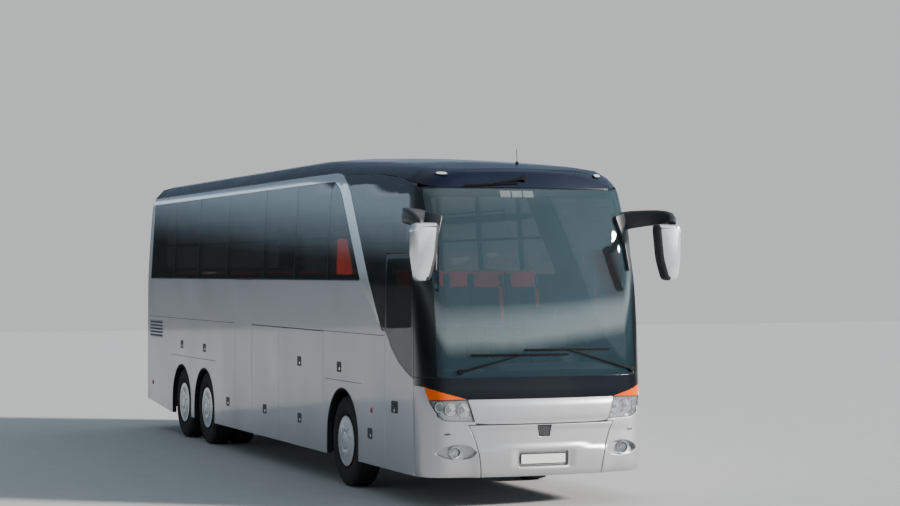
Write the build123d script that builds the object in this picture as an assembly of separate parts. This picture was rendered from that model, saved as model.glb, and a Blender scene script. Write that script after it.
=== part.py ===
from build123d import *
import math
import os

# A three-axle high-deck touring coach at its real size, in millimetres.
#
# +X runs forward, +Y to the coach's left and +Z up. The origin lies on the ground under the middle of the
# whole coach with its mirrors. A station is a distance behind the front face, turned into X by sx().
# The body is one envelope: plan outlines stacked over the height, cut to a cross-section and to a side
# profile. Every outer panel is a piece of the wall between that envelope and the same envelope set in.

# Whole coach
LENGTH = 13020.0
WIDTH = 2550.0
HEIGHT = 3880.0
MIRROR_REACH = 190.0
SKIRT_Z = 335.0
WALL = 50.0
SKIN = 12.0
GAP = 8.0
SEAT_GAP = 0.3

# Plan outline
NOSE_RADIUS = 5000.0
NOSE_CORNER = 250.0
TAIL_RADIUS = 20000.0
TAIL_CORNER = 110.0

# Cross-section
TUMBLE_Z = 2380.0
TUMBLEHOME = 80.0
ROOF_EDGE_RADIUS = 240.0
CROWN_RADIUS = 13500.0

# Heights counted down from the crest of the roof
WS_TOP_Z = HEIGHT - 520.0
GLASS_TOP_Z = HEIGHT - 350.0
BAND_TOP_Z = HEIGHT - 245.0

# How far the nose and the tail are set back at each height: z, nose station, tail inset
RAKE = [
    (200.0, 50.0, 60.0),
    (620.0, 4.0, 6.0),
    (1000.0, 0.0, 0.0),
    (1370.0, 22.0, 2.0),
    (2100.0, 85.0, 16.0),
    (2650.0, 178.0, 36.0),
    (3050.0, 292.0, 62.0),
    (WS_TOP_Z, 420.0, 95.0),
    (WS_TOP_Z + 200.0, 545.0, 130.0),
    (WS_TOP_Z + 640.0, 900.0, 260.0),
]
# Top of the body seen from the side: station, depth under the crest
ROOF_DROP = [(300.0, 365.0), (545.0, 318.0), (1200.0, 220.0), (2400.0, 123.0), (3700.0, 40.0), (4700.0, 0.0)]
# The same at the tail: distance ahead of the rear face, depth under the crest
TAIL_DROP = [(420.0, 0.0), (220.0, 34.0), (90.0, 130.0), (-80.0, 430.0)]
ROOF_LINE = [(station, HEIGHT - drop) for station, drop in ROOF_DROP]
ROOF_TAIL = [(LENGTH - ahead, HEIGHT - drop) for ahead, drop in TAIL_DROP]
SKY_Z = HEIGHT + 200.0

# Axles and wheels
FRONT_OVERHANG = 2870.0
WHEELBASE = 6350.0
TANDEM = 1350.0
TYRE_RADIUS = 522.0
TYRE_WIDTH = 295.0
RIM_RADIUS = 285.0
TWIN_GAP = 42.0
TYRE_OUTER_Y = 1237.0
STUB_RADIUS = 55.0
ARCH_RADIUS = 560.0
ARCH_LIFT = 42.0
KINGPIN_Y = 960.0
KINGPIN_RADIUS = 30.0
EYE_RADIUS = 60.0
EYE_HEIGHT = 100.0
DRIVE_STATION = FRONT_OVERHANG + WHEELBASE
TAG_STATION = DRIVE_STATION + TANDEM
# name, station, steered, twin tyres
AXLES = [
    ("front", FRONT_OVERHANG, True, False),
    ("drive", DRIVE_STATION, False, True),
    ("tag", TAG_STATION, False, False),
]
# Underside of the tail, which rises behind the last axle: station, z
TAIL_RISE = [(TAG_STATION + 630.0, SKIRT_Z), (LENGTH + 50.0, 480.0)]
SIDES = [("left", 1), ("right", -1)]

# Side features: stations and heights
FRONT_SEAM = 490.0
FRONT_DOOR_REAR = 1390.0
FRONT_DOOR_TOP = 2660.0
MID_DOOR_FRONT = 6700.0
MID_DOOR_REAR = 7540.0
MID_DOOR_TOP = 2364.0
FLAP_FRONT = FRONT_OVERHANG + 730.0
FLAP_SPLIT = 5450.0
LEFT_SPLITS = (5200.0, 6800.0)
LEFT_FLAP_REAR = DRIVE_STATION - 820.0
SEAM_Z = 1775.0
SILL_Z = 2380.0
WINDOW_REAR = LENGTH - 420.0
BODY_REAR = LENGTH - 320.0
# Front edge and rear edge of the bright band that sweeps down behind the front door
BAND_TIP = (1500.0, 1825.0)
BAND_FRONT = [(3400.0, BAND_TOP_Z), (3130.0, BAND_TOP_Z - 37.0), (2930.0, BAND_TOP_Z - 124.0),
              (2760.0, BAND_TOP_Z - 248.0), BAND_TIP]
BAND_REAR = [(1640.0, 1925.0), (2247.0, SILL_Z), (3055.0, GLASS_TOP_Z - 179.0), (3204.0, GLASS_TOP_Z - 69.0),
             (3400.0, GLASS_TOP_Z)]
# Lower edge of the roof panel ahead of the band
ROOF_EDGE = [(0.0, WS_TOP_Z), (560.0, WS_TOP_Z + 15.0), (1100.0, WS_TOP_Z + 120.0),
             (2000.0, WS_TOP_Z + 202.0), BAND_FRONT[1]]
# Lower edge of the front side glass
GLASS_SWEEP = [BAND_TIP, (1180.0, 1640.0), (960.0, 1505.0), (720.0, 1410.0), (480.0, 1354.0)]
# Posts between the clear side windows: the first window follows the band
PILLAR = 80.0
FRAME_MARGIN = 60.0
POSTS = (3460.0, 4800.0, 6200.0, 8020.0, 9640.0, WINDOW_REAR - 1480.0)
LAST_EDGE = WINDOW_REAR - FRAME_MARGIN
REAR_EDGES = [post - PILLAR / 2 for post in POSTS[1:]] + [LAST_EDGE]
WINDOWS = [(post + PILLAR / 2, rear_edge) for post, rear_edge in zip(POSTS, REAR_EDGES)]
FIRST_WINDOW = [(2400.0, SILL_Z + FRAME_MARGIN), (POSTS[0] - PILLAR / 2, SILL_Z + FRAME_MARGIN),
                (POSTS[0] - PILLAR / 2, GLASS_TOP_Z - FRAME_MARGIN - 20.0), (3140.0, GLASS_TOP_Z - 210.0)]

# Nose features
WS_BOTTOM = 1372.0
PLATE_WIDTH = 520.0
PLATE_HEIGHT = 110.0
PLATE_Z = 515.0

# Tail features
LID_HALF = 900.0
LID_BOTTOM = 800.0
LID_TOP = 2180.0
LID_HINGE_STATION = LENGTH - 18.0
REAR_GLASS_HALF = 1000.0
REAR_GLASS_BOTTOM = 2480.0
REAR_GLASS_TOP = HEIGHT - 460.0
TAIL_LAMP = (960.0, 1110.0, 900.0, 1720.0)

# Floors
DECK_TOP = 1380.0
DECK_THICK = 80.0
BAY_TOP = 400.0
BAY_THICK = 50.0
CAB_FLOOR = 850.0
CAB_REAR = 1700.0
WELL_HALF = 630.0
WELL_INNER = 540.0
BEAM_Y = 480.0
BEAM_WIDTH = 70.0
BULKHEAD = 40.0

X_FRONT = (LENGTH - MIRROR_REACH) / 2
HALF = WIDTH / 2
AXLE_Z = TYRE_RADIUS


def sx(station):
    """X of a station behind the front face."""
    return X_FRONT - station


def box(x0, x1, y0, y1, z0, z1):
    """A box between two stations, two Y and two Z values."""
    length, width, height = abs(x1 - x0), y1 - y0, z1 - z0
    centre = ((sx(x0) + sx(x1)) / 2, (y0 + y1) / 2, (z0 + z1) / 2)
    return Pos(*centre) * Box(length, width, height)


def side_prism(points, y0, y1):
    """A side-view outline of (station, z) points, run from y0 to y1."""
    outline = Polyline(*[(sx(s), y0, z) for s, z in points], close=True)
    return extrude(make_face(outline), amount=y1 - y0, dir=(0, 1, 0))


def nose_prism(points, x0=-150.0, x1=900.0):
    """A front-view outline of (y, z) points, run from station x0 to x1."""
    outline = Polyline(*[(sx(x0), y, z) for y, z in points], close=True)
    return extrude(make_face(outline), amount=x1 - x0, dir=(-1, 0, 0))


def end_arcs(radius, corner, inset):
    """For a bulged end in plan: how far behind its middle the bulge meets the corner arc, how wide it is
    there, where the corner arc's middle lies, and where the arc meets the side."""
    r, c, half = radius - inset, corner - inset, HALF - inset
    reach = math.sqrt((r - c) ** 2 - (half - c) ** 2)
    angle = math.asin((half - c) / (r - c))
    meet = (r - r * math.cos(angle), r * math.sin(angle))
    middle_angle = (angle + math.pi / 2) / 2
    centre = r - reach
    middle = (centre - c * math.cos(middle_angle), half - c + c * math.sin(middle_angle))
    return meet, middle, centre


def plan_wire(z, nose, tail, inset):
    """The outline at one height, as two bulged ends, four corner arcs and two straight sides."""
    half = HALF - inset
    (nx, ny), (mx, my), nc = end_arcs(NOSE_RADIUS, NOSE_CORNER, inset)
    (tx, ty), (ux, uy), tc = end_arcs(TAIL_RADIUS, TAIL_CORNER, inset)
    front = sx(nose + inset)
    rear = sx(LENGTH - tail - inset)
    edges = [
        ThreePointArc((front - nx, -ny, z), (front, 0, z), (front - nx, ny, z)),
        ThreePointArc((front - nx, ny, z), (front - mx, my, z), (front - nc, half, z)),
        Line((front - nc, half, z), (rear + tc, half, z)),
        ThreePointArc((rear + tc, half, z), (rear + ux, uy, z), (rear + tx, ty, z)),
        ThreePointArc((rear + tx, ty, z), (rear, 0, z), (rear + tx, -ty, z)),
        ThreePointArc((rear + tx, -ty, z), (rear + ux, -uy, z), (rear + tc, -half, z)),
        Line((rear + tc, -half, z), (front - nc, -half, z)),
        ThreePointArc((front - nc, -half, z), (front - mx, -my, z), (front - nx, -ny, z)),
    ]
    return Wire([edge.edge() for edge in edges])


def cross_section(inset):
    """The body across: straight lower sides, a slight lean above the sill, an edge arc and a crown."""
    edge = ROOF_EDGE_RADIUS - inset
    crown = CROWN_RADIUS - inset
    lean = math.atan(TUMBLEHOME / (HEIGHT - ROOF_EDGE_RADIUS - TUMBLE_Z))
    crown_z = HEIGHT - CROWN_RADIUS
    edge_y = HALF - TUMBLEHOME - ROOF_EDGE_RADIUS
    edge_z = crown_z + math.sqrt((crown - edge) ** 2 - edge_y ** 2)
    tilt = math.atan2(edge_y, edge_z - crown_z)
    top = (crown * math.sin(tilt), crown_z + crown * math.cos(tilt))
    low = (edge_y + edge * math.cos(lean), edge_z + edge * math.sin(lean))
    mid_angle = (lean + math.pi / 2 - tilt) / 2
    mid = (edge_y + edge * math.cos(mid_angle), edge_z + edge * math.sin(mid_angle))
    side = HALF - inset
    x = sx(LENGTH + 200)

    def p(y, z):
        return (x, y, z)

    lines = [
        ThreePointArc(p(-top[0], top[1]), p(0, HEIGHT - inset), p(*top)),
        ThreePointArc(p(*top), p(*mid), p(*low)),
        Line(p(*low), p(side, TUMBLE_Z)),
        Line(p(side, TUMBLE_Z), p(side, 0)),
        Line(p(side, 0), p(-side, 0)),
        Line(p(-side, 0), p(-side, TUMBLE_Z)),
        Line(p(-side, TUMBLE_Z), p(-low[0], low[1])),
        ThreePointArc(p(-low[0], low[1]), p(-mid[0], mid[1]), p(-top[0], top[1])),
    ]
    face = make_face(Wire([line.edge() for line in lines]))
    return extrude(face, amount=LENGTH + 400, dir=(1, 0, 0))


def side_profile(inset):
    """The body from the side: skirt, rising tail and roof line."""
    top = [(-100.0, ROOF_LINE[0][1] - 60.0)] + ROOF_LINE + ROOF_TAIL
    lowered = [(-100.0, SKIRT_Z)] + [(station, z - inset) for station, z in top]
    lowered += [(LENGTH + 50.0, WS_TOP_Z - 60.0), TAIL_RISE[1], TAIL_RISE[0]]
    return side_prism(lowered, -HALF - 50.0, HALF + 50.0)


def envelope(inset):
    """The whole body set in by one distance, as one solid."""
    wires = [plan_wire(z, nose, tail, inset) for z, nose, tail in RAKE]
    stack = Solid.make_loft(wires, ruled=True)
    return stack & cross_section(inset) & side_profile(inset)


def solids_of(shape, least=1000.0):
    """The solids of a shape, without crumbs."""
    return [solid for solid in shape.solids() if solid.volume > least]


def save(name, *shapes):
    """Writes one node from all solids of the given shapes."""
    found = []
    for shape in shapes:
        found += solids_of(shape)
    export_step(found[0] if len(found) == 1 else Compound(found), f"parts/{name}.step")
    print(name, len(found))


# Outlines on the side: (station, z)
AROUND = HALF + 125.0
INBOARD = HALF - 395.0
BAND_OUTLINE = BAND_FRONT + BAND_REAR + [(BODY_REAR, GLASS_TOP_Z), (BODY_REAR, BAND_TOP_Z)]
WINDOW_OUTLINE = [(WINDOW_REAR, SILL_Z), (WINDOW_REAR, GLASS_TOP_Z)] + BAND_REAR[:0:-1]
ROOF_CUT = ([(-200.0, WS_TOP_Z)] + ROOF_EDGE + BAND_FRONT[:1]
            + [(LENGTH + 100.0, BAND_TOP_Z), (LENGTH + 100.0, SKY_Z), (-200.0, SKY_Z)])
PILLAR_TOP = (700.0, WS_TOP_Z + 42.0)
NOSE_SIDE = [(-200.0, 0.0), (FRONT_SEAM, 0.0), (FRONT_SEAM, FRONT_DOOR_TOP + GAP), PILLAR_TOP,
             (PILLAR_TOP[0], SKY_Z), (-200.0, SKY_Z)]
QUARTER_OUTLINE = ([PILLAR_TOP] + ROOF_EDGE[2:] + BAND_FRONT[2:4]
                   + [BAND_TIP, (FRONT_DOOR_REAR + GAP, BAND_TIP[1]),
                      (FRONT_DOOR_REAR + GAP, FRONT_DOOR_TOP + GAP), (FRONT_SEAM, FRONT_DOOR_TOP + GAP)])
DRIVER_OUTLINE = ([PILLAR_TOP] + ROOF_EDGE[2:] + BAND_FRONT[2:4] + GLASS_SWEEP
                  + [(FRONT_SEAM, FRONT_DOOR_TOP + GAP)])
HOLE_TOP = [(2520.0, WS_TOP_Z + 20.0), (2440.0, WS_TOP_Z + 110.0), (2000.0, WS_TOP_Z + 130.0),
            (1100.0, WS_TOP_Z + 48.0), (780.0, WS_TOP_Z - 20.0)]
HOLE_LOW = FRONT_DOOR_TOP + 80.0
QUARTER_HOLE = [(610.0, HOLE_LOW), (2010.0, HOLE_LOW)] + HOLE_TOP
DRIVER_HOLE = ([(556.0, 1460.0), (900.0, 1590.0), (1150.0, 1740.0), (1380.0, 1960.0)] + HOLE_TOP
               + [(556.0, HOLE_LOW)])
DOOR_GLASS = [(560.0, 1360.0), (720.0, 1412.0), (960.0, 1507.0), (1180.0, 1642.0), (1340.0, 1790.0),
              (1340.0, 2610.0), (560.0, 2610.0)]
DOOR_GLASS_HOLE = [(610.0, 1430.0), (720.0, 1465.0), (940.0, 1555.0), (1150.0, 1685.0), (1285.0, 1815.0),
                   (1285.0, 2550.0), (610.0, 2550.0)]

# Outlines on the nose: (y, z)
HEADLAMP_OUTLINE = [(757.0, 912.0), (1090.0, 931.0), (1224.0, 1136.0), (830.0, 1145.0)]
INDICATOR_OUTLINE = [(830.0, 1145.0), (1224.0, 1136.0), (1255.0, 1274.0)]
FLAP_OUTLINE = [(-680.0, 0.0), (680.0, 0.0), (820.0, 877.0), (-820.0, 877.0)]
FLAP_HOLE_OUTLINE = [(-688.0, -1.0), (688.0, -1.0), (828.0, 885.0), (-828.0, 885.0)]
GRILLE_OUTLINE = [(-749.0, 885.0), (749.0, 885.0), (757.0, 912.0), (830.0, 1145.0), (-830.0, 1145.0),
                  (-757.0, 912.0)]
BLACK_OUTLINE = [(-830.0, 1145.0), (830.0, 1145.0), (1255.0, 1274.0), (1300.0, 1286.0), (1300.0, 1372.0),
                 (-1300.0, 1372.0), (-1300.0, 1286.0), (-1255.0, 1274.0)]
TOW_OUTLINE = [(-60.0, 750.0), (60.0, 750.0), (80.0, 868.0), (-80.0, 868.0)]
WS_OUTLINE = [(-1130.0, 1300.0), (1130.0, 1300.0), (1165.0, WS_TOP_Z - 10.0), (-1165.0, WS_TOP_Z - 10.0)]
WS_HOLE = [(-1060.0, 1440.0), (1060.0, 1440.0), (1090.0, WS_TOP_Z - 80.0), (-1090.0, WS_TOP_Z - 80.0)]
FOG_STATION = 120.0
FOG_Y = 936.0
FOG_Z = 600.0
FOG_RADIUS = 62.0
FOG_LENGTH = 400.0
PLATE_STATION = 34.0
PLATE_THICK = 8.0
WIPER_LIFT = 8.0
WIPER_THICK = 18.0
WIPER_BLADE = 14.0
WIPER_ARM = 12.0
WIPER_FOOT = 32.0
# Blade, arm and foot of each wiper on the nose: (y, z) ends
WIPERS = [
    (((-200.0, 1650.0), (800.0, 1650.0)), ((1080.0, 1430.0), (300.0, 1650.0)), (1080.0, 1430.0)),
    (((-780.0, 1600.0), (300.0, 1600.0)), ((-900.0, 1430.0), (-240.0, 1600.0)), (-900.0, 1430.0)),
    (((-650.0, WS_TOP_Z - 60.0), (-60.0, WS_TOP_Z - 120.0)),
     ((0.0, WS_TOP_Z - 30.0), (-340.0, WS_TOP_Z - 90.0)), (0.0, WS_TOP_Z - 30.0)),
]

# Roof hatches: name, station of the middle
HATCHES = [("front", 5200.0), ("rear", 9600.0)]
HATCH_SIZE = 760.0
HATCH_DEPTH = 180.0

# Doors and flaps: name, front station, rear station, top
DOORS_RIGHT = [
    ("front_door", FRONT_SEAM + GAP, FRONT_DOOR_REAR, FRONT_DOOR_TOP),
    ("mid_door", MID_DOOR_FRONT + GAP, MID_DOOR_REAR - GAP, MID_DOOR_TOP),
]
FLAPS_RIGHT = [("luggage_flap_right_front", FLAP_FRONT, FLAP_SPLIT),
               ("luggage_flap_right_rear", FLAP_SPLIT, MID_DOOR_FRONT)]
FLAPS_LEFT = [("luggage_flap_left_front", FLAP_FRONT, LEFT_SPLITS[0]),
              ("luggage_flap_left_middle", LEFT_SPLITS[0], LEFT_SPLITS[1]),
              ("luggage_flap_left_rear", LEFT_SPLITS[1], LEFT_FLAP_REAR)]
# Each door's column station and the station of its pins on the closed leaf
DOOR_PIVOTS = {"front_door": (640.0, 1140.0), "mid_door": (7390.0, 6890.0)}
DOOR_ARM_Y = 1140.0
DOOR_ARM_HEIGHTS = {"front_door": (700.0, 2605.0), "mid_door": (700.0, 2200.0)}
COLUMN_END = 52.0
COLUMN_FOOT = {"front_door": 400.0 + SEAT_GAP, "mid_door": 560.0 + SEAT_GAP}
# Barrel hinges of the hatches and the engine lid: radius, half length, y of the middles
BARREL_RADIUS = 4.2
BARREL_SINK = 0.7
BARREL_HALF = 60.0
BARREL_Y = (-90.0, 90.0)
FLAP_HINGE_STATION = 125.0
FLAP_HINGE_Z = 350.0
FLAP_PIN = 5.0
FLAP_LUG = (400.0, 440.0)
FLAP_HANGER = (445.0, 465.0)
COLUMN_RADIUS = 22.0
ARM_HALF = 20.0
EYE_ARM_RADIUS = 30.0
PIN_RADIUS = 12.0
PIN_CLEARANCE = 0.06
EAR_REACH = 35.0
EAR_GAP = 0.5
EAR_THICK = 14.0
EAR_SINK = 2.0

# Inside the shell
ARCH_INNER_Y = 1240.0
WELL_TOP = 1299.0
FLOOR_HALF = 1200.0
BAY_FRONT = FRONT_OVERHANG + 690.0
BAY_REAR = DRIVE_STATION - 780.0
STAIR_INNER = 420.0
DUCT_SET_IN = 8.0
DUCT_THICK = 25.0
DUCT_TOP = 1790.0
DUCTS = {"left": [(BAY_FRONT, BAY_REAR)], "right": [(BAY_FRONT, MID_DOOR_FRONT), (MID_DOOR_REAR, BAY_REAR)]}
CAB_FRONT = 190.0
CAB_RIGHT = 460.0
BEAM_FRONT = 160.0
BEAM_REAR = BODY_REAR
BEAM_BOTTOM = 640.0
BEAM_TOP = 760.0
# name, front, rear, outer y, inner y, underside, tread heights
STAIRS = [
    ("front", 520.0, 1390.0, FLOOR_HALF, 470.0, 350.0, (400.0, BEAM_BOTTOM - SEAT_GAP)),
    ("mid", MID_DOOR_FRONT + 2, MID_DOOR_REAR - 2, FLOOR_HALF, 422.0, BAY_TOP + SEAT_GAP,
     (560.0, 830.0, 1100.0)),
]
CROSS_BEAMS = (BEAM_FRONT, 1900.0, DRIVE_STATION - 520.0, DRIVE_STATION + 680.0, TAG_STATION + 680.0,
               BEAM_REAR - BEAM_WIDTH)
TOW_BLOCK_HALF = 45.0
TOW_RADIUS = 20.0
TOW_DEPTH = 80.0
TOW_HALF = 80.0
FRONT_TOW_Z = 805.0
REAR_TOW_Z = 700.0
# Block from, block to, height, where its hole starts
TOW_BLOCKS = [
    (80.0, 180.0, FRONT_TOW_Z, 80.0),
    (BEAM_REAR - 10.0, LENGTH - 160.0, REAR_TOW_Z, LENGTH - 160.0),
]
REAR_PLATE_DEPTH = 60.0
REAR_PLATE_Z = 560.0
WELL_THICK = 15.0
WELL_OUTER_Y = 1220.0
WELL_END_LOW = 420.0
# Wheel wells: front, rear, inner wall y, low edge
WELLS = [(FRONT_OVERHANG - 650.0, FRONT_OVERHANG + 650.0, WELL_INNER, BEAM_TOP + 10.0),
         (DRIVE_STATION - 620.0, TAG_STATION + 620.0, WELL_INNER + 20.0, BEAM_TOP + 10.0)]
ENGINE_FRONT = TAG_STATION + 830.0
ENGINE_REAR = LENGTH - 420.0
ENGINE_HALF = BEAM_Y - BEAM_WIDTH / 2 - SEAT_GAP
ENGINE_LOW = 520.0
ENGINE_TOP = 1250.0
SEAT_ROWS = 12
SEAT_FIRST = 2300.0
SEAT_PITCH = 800.0
SEAT_HEIGHT = 470.0
SEAT_DEPTH = 480.0
SEAT_BACK = 1130.0
SEAT_INNER = 250.0
SEAT_OUTER = 1180.0
RACK_FRONT = 2900.0
RACK_REAR = LENGTH - 520.0
RACK_INNER = 760.0
RACK_Z = 3080.0
RACK_THICK = 90.0
DASH_FRONT = 180.0
DASH_REAR = 900.0
DASH_RIGHT = 420.0
DASH_TOP = 1500.0
DASH_DEPTH = 400.0
DASH_KNEE = 260.0
DRIVER_Y = 700.0
DRIVER_HALF = 240.0
DRIVER_SEAT = [(1150.0, CAB_FLOOR + SEAT_GAP), (1050.0, 1350.0), (1480.0, 1330.0), (1560.0, 2080.0),
               (1650.0, 2060.0), (1560.0, 1230.0), (1380.0, 1200.0), (1400.0, CAB_FLOOR + SEAT_GAP)]
WHEEL_STATION = 960.0
WHEEL_Z = 1640.0
WHEEL_ANGLE = 30.0
STEER_RADIUS = 225.0
STEER_RIM = 15.0
STEER_SPOKE = (40.0, 16.0)
COLUMN_TUBE = 25.0
COLUMN_LENGTH = 300.0
# A pair of seats from the side: behind the row's front, above the deck
SEAT_OUTLINE = [(0.0, SEAT_GAP), (0.0, SEAT_HEIGHT), (SEAT_DEPTH - 60.0, SEAT_HEIGHT - 20.0),
                (SEAT_DEPTH + 40.0, SEAT_BACK), (SEAT_DEPTH + 150.0, SEAT_BACK),
                (SEAT_DEPTH + 60.0, SEAT_HEIGHT - 150.0), (SEAT_DEPTH - 100.0, SEAT_HEIGHT - 160.0),
                (SEAT_DEPTH - 140.0, SEAT_GAP)]
# A mirror's arm is the common part of its front view (y, z) and its plan (station, y)
MIRROR_ARM_VIEW = [(1050.0, 2860.0), (1050.0, 3115.0), (1300.0, 3140.0), (1450.0, 3125.0), (1525.0, 3070.0),
                   (1528.0, 2930.0), (1390.0, 2930.0), (1370.0, 2960.0), (1260.0, 2965.0), (1180.0, 2900.0)]
MIRROR_ARM_PLAN = [(620.0, 1100.0), (480.0, 1310.0), (350.0, 1450.0), (180.0, 1520.0), (-20.0, 1525.0),
                   (-145.0, 1480.0), (-145.0, 1390.0), (-40.0, 1430.0), (150.0, 1425.0), (290.0, 1355.0),
                   (400.0, 1220.0), (480.0, 1060.0)]
MIRROR_FRONT = -MIRROR_REACH
MIRROR_BACK = -50.0
# A mirror's housing from the front: (y, z)
MIRROR_HOUSE = [(1236.0, 2968.0), (1500.0, 2970.0), (1530.0, 2900.0), (1526.0, 2640.0), (1490.0, 2400.0),
                (1450.0, 2370.0), (1330.0, 2370.0), (1262.0, 2600.0), (1230.0, 2900.0)]
MIRROR_MIDDLE = (1380.0, 2670.0)
MIRROR_SIZE = (300.0, 600.0)
MIRROR_RIM = 30.0
MIRROR_RECESS = 12.0
MIRROR_GLASS = 6.0
MIRROR_ROUND = 26.0
SPRING_RADIUS = 34.0
BEARING_GAP = 0.06
# Axle beams, hubs and the steered knuckle
BEAM_HALF = 45.0
BEAM_LOW = -90.0
BEAM_HIGH = 10.0
AXLE_TUBE = 75.0
AXLE_TUBE_LENGTH = 1100.0
DIFF_RADIUS = 180.0
DIFF_LENGTH = 320.0
FORK_GAP = 12.0
FORK_THICK = 30.0
FORK_HALF = 50.0
FORK_REACH = 95.0
KING_EAR = 40.0
KING_EAR_GAP = 0.5
STUB_STEP = 30.0


def bar_outline(start, end, half):
    """Corners of a straight bar of the given half width between two (y, z) points."""
    (y0, z0), (y1, z1) = start, end
    length = math.hypot(y1 - y0, z1 - z0)
    ny, nz = -(z1 - z0) / length * half, (y1 - y0) / length * half
    return [(y0 + ny, z0 + nz), (y1 + ny, z1 + nz), (y1 - ny, z1 - nz), (y0 - ny, z0 - nz)]


def disc_outline(centre, radius, corners=12):
    """A regular polygon about a (y, z) point."""
    y, z = centre
    turns = [2 * math.pi * k / corners for k in range(corners)]
    return [(y + radius * math.cos(turn), z + radius * math.sin(turn)) for turn in turns]


def one_side(side):
    """The Y limits of a prism that takes one side of the body."""
    return (INBOARD, AROUND) if side > 0 else (-AROUND, -INBOARD)


os.makedirs("parts", exist_ok=True)
outer = envelope(0.0)
middle = envelope(SKIN)
inner = envelope(WALL)
stand_off = envelope(-WIPER_LIFT)
wiper_top = envelope(-WIPER_LIFT - WIPER_THICK)

# Stations where the body splits into nose, sides and tail
nose_block = side_prism(NOSE_SIDE, -AROUND, AROUND)
tail_block = box(BODY_REAR, LENGTH + 100, -AROUND, AROUND, 0, SKY_Z)
roof_block = side_prism(ROOF_CUT, -AROUND, AROUND)
wall = outer - inner
roof_wall = wall & roof_block
lower_wall = wall - roof_block
nose_wall = lower_wall & nose_block
tail_wall = lower_wall & tail_block


def front_outline(points):
    """A right-hand and a left-hand copy of a front-view outline, as one prism each."""
    return [nose_prism(points), nose_prism([(-y, z) for y, z in points])]


# Roof with its two hatches
roof = roof_wall
hatches = {}
for name, station in HATCHES:
    half = HATCH_SIZE / 2
    hole = box(station - half, station + half, -half, half, HEIGHT - HATCH_DEPTH, SKY_Z)
    lid = box(station - half + GAP, station + half - GAP, -half + GAP, half - GAP, HEIGHT - HATCH_DEPTH,
              SKY_Z)
    edge = station - half + GAP
    hatch = roof_wall & lid
    for y in BARREL_Y:
        barrel = Pos(sx(edge - BARREL_RADIUS + BARREL_SINK), y, HEIGHT - BARREL_RADIUS - SEAT_GAP)
        hatch = hatch + barrel * Rot(90, 0, 0) * Cylinder(BARREL_RADIUS, 2 * BARREL_HALF)
    hatches[name] = hatch
    roof = roof - hole
save("roof", roof)
for name, station in HATCHES:
    save(f"roof_hatch_{name}", hatches[name])

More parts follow.
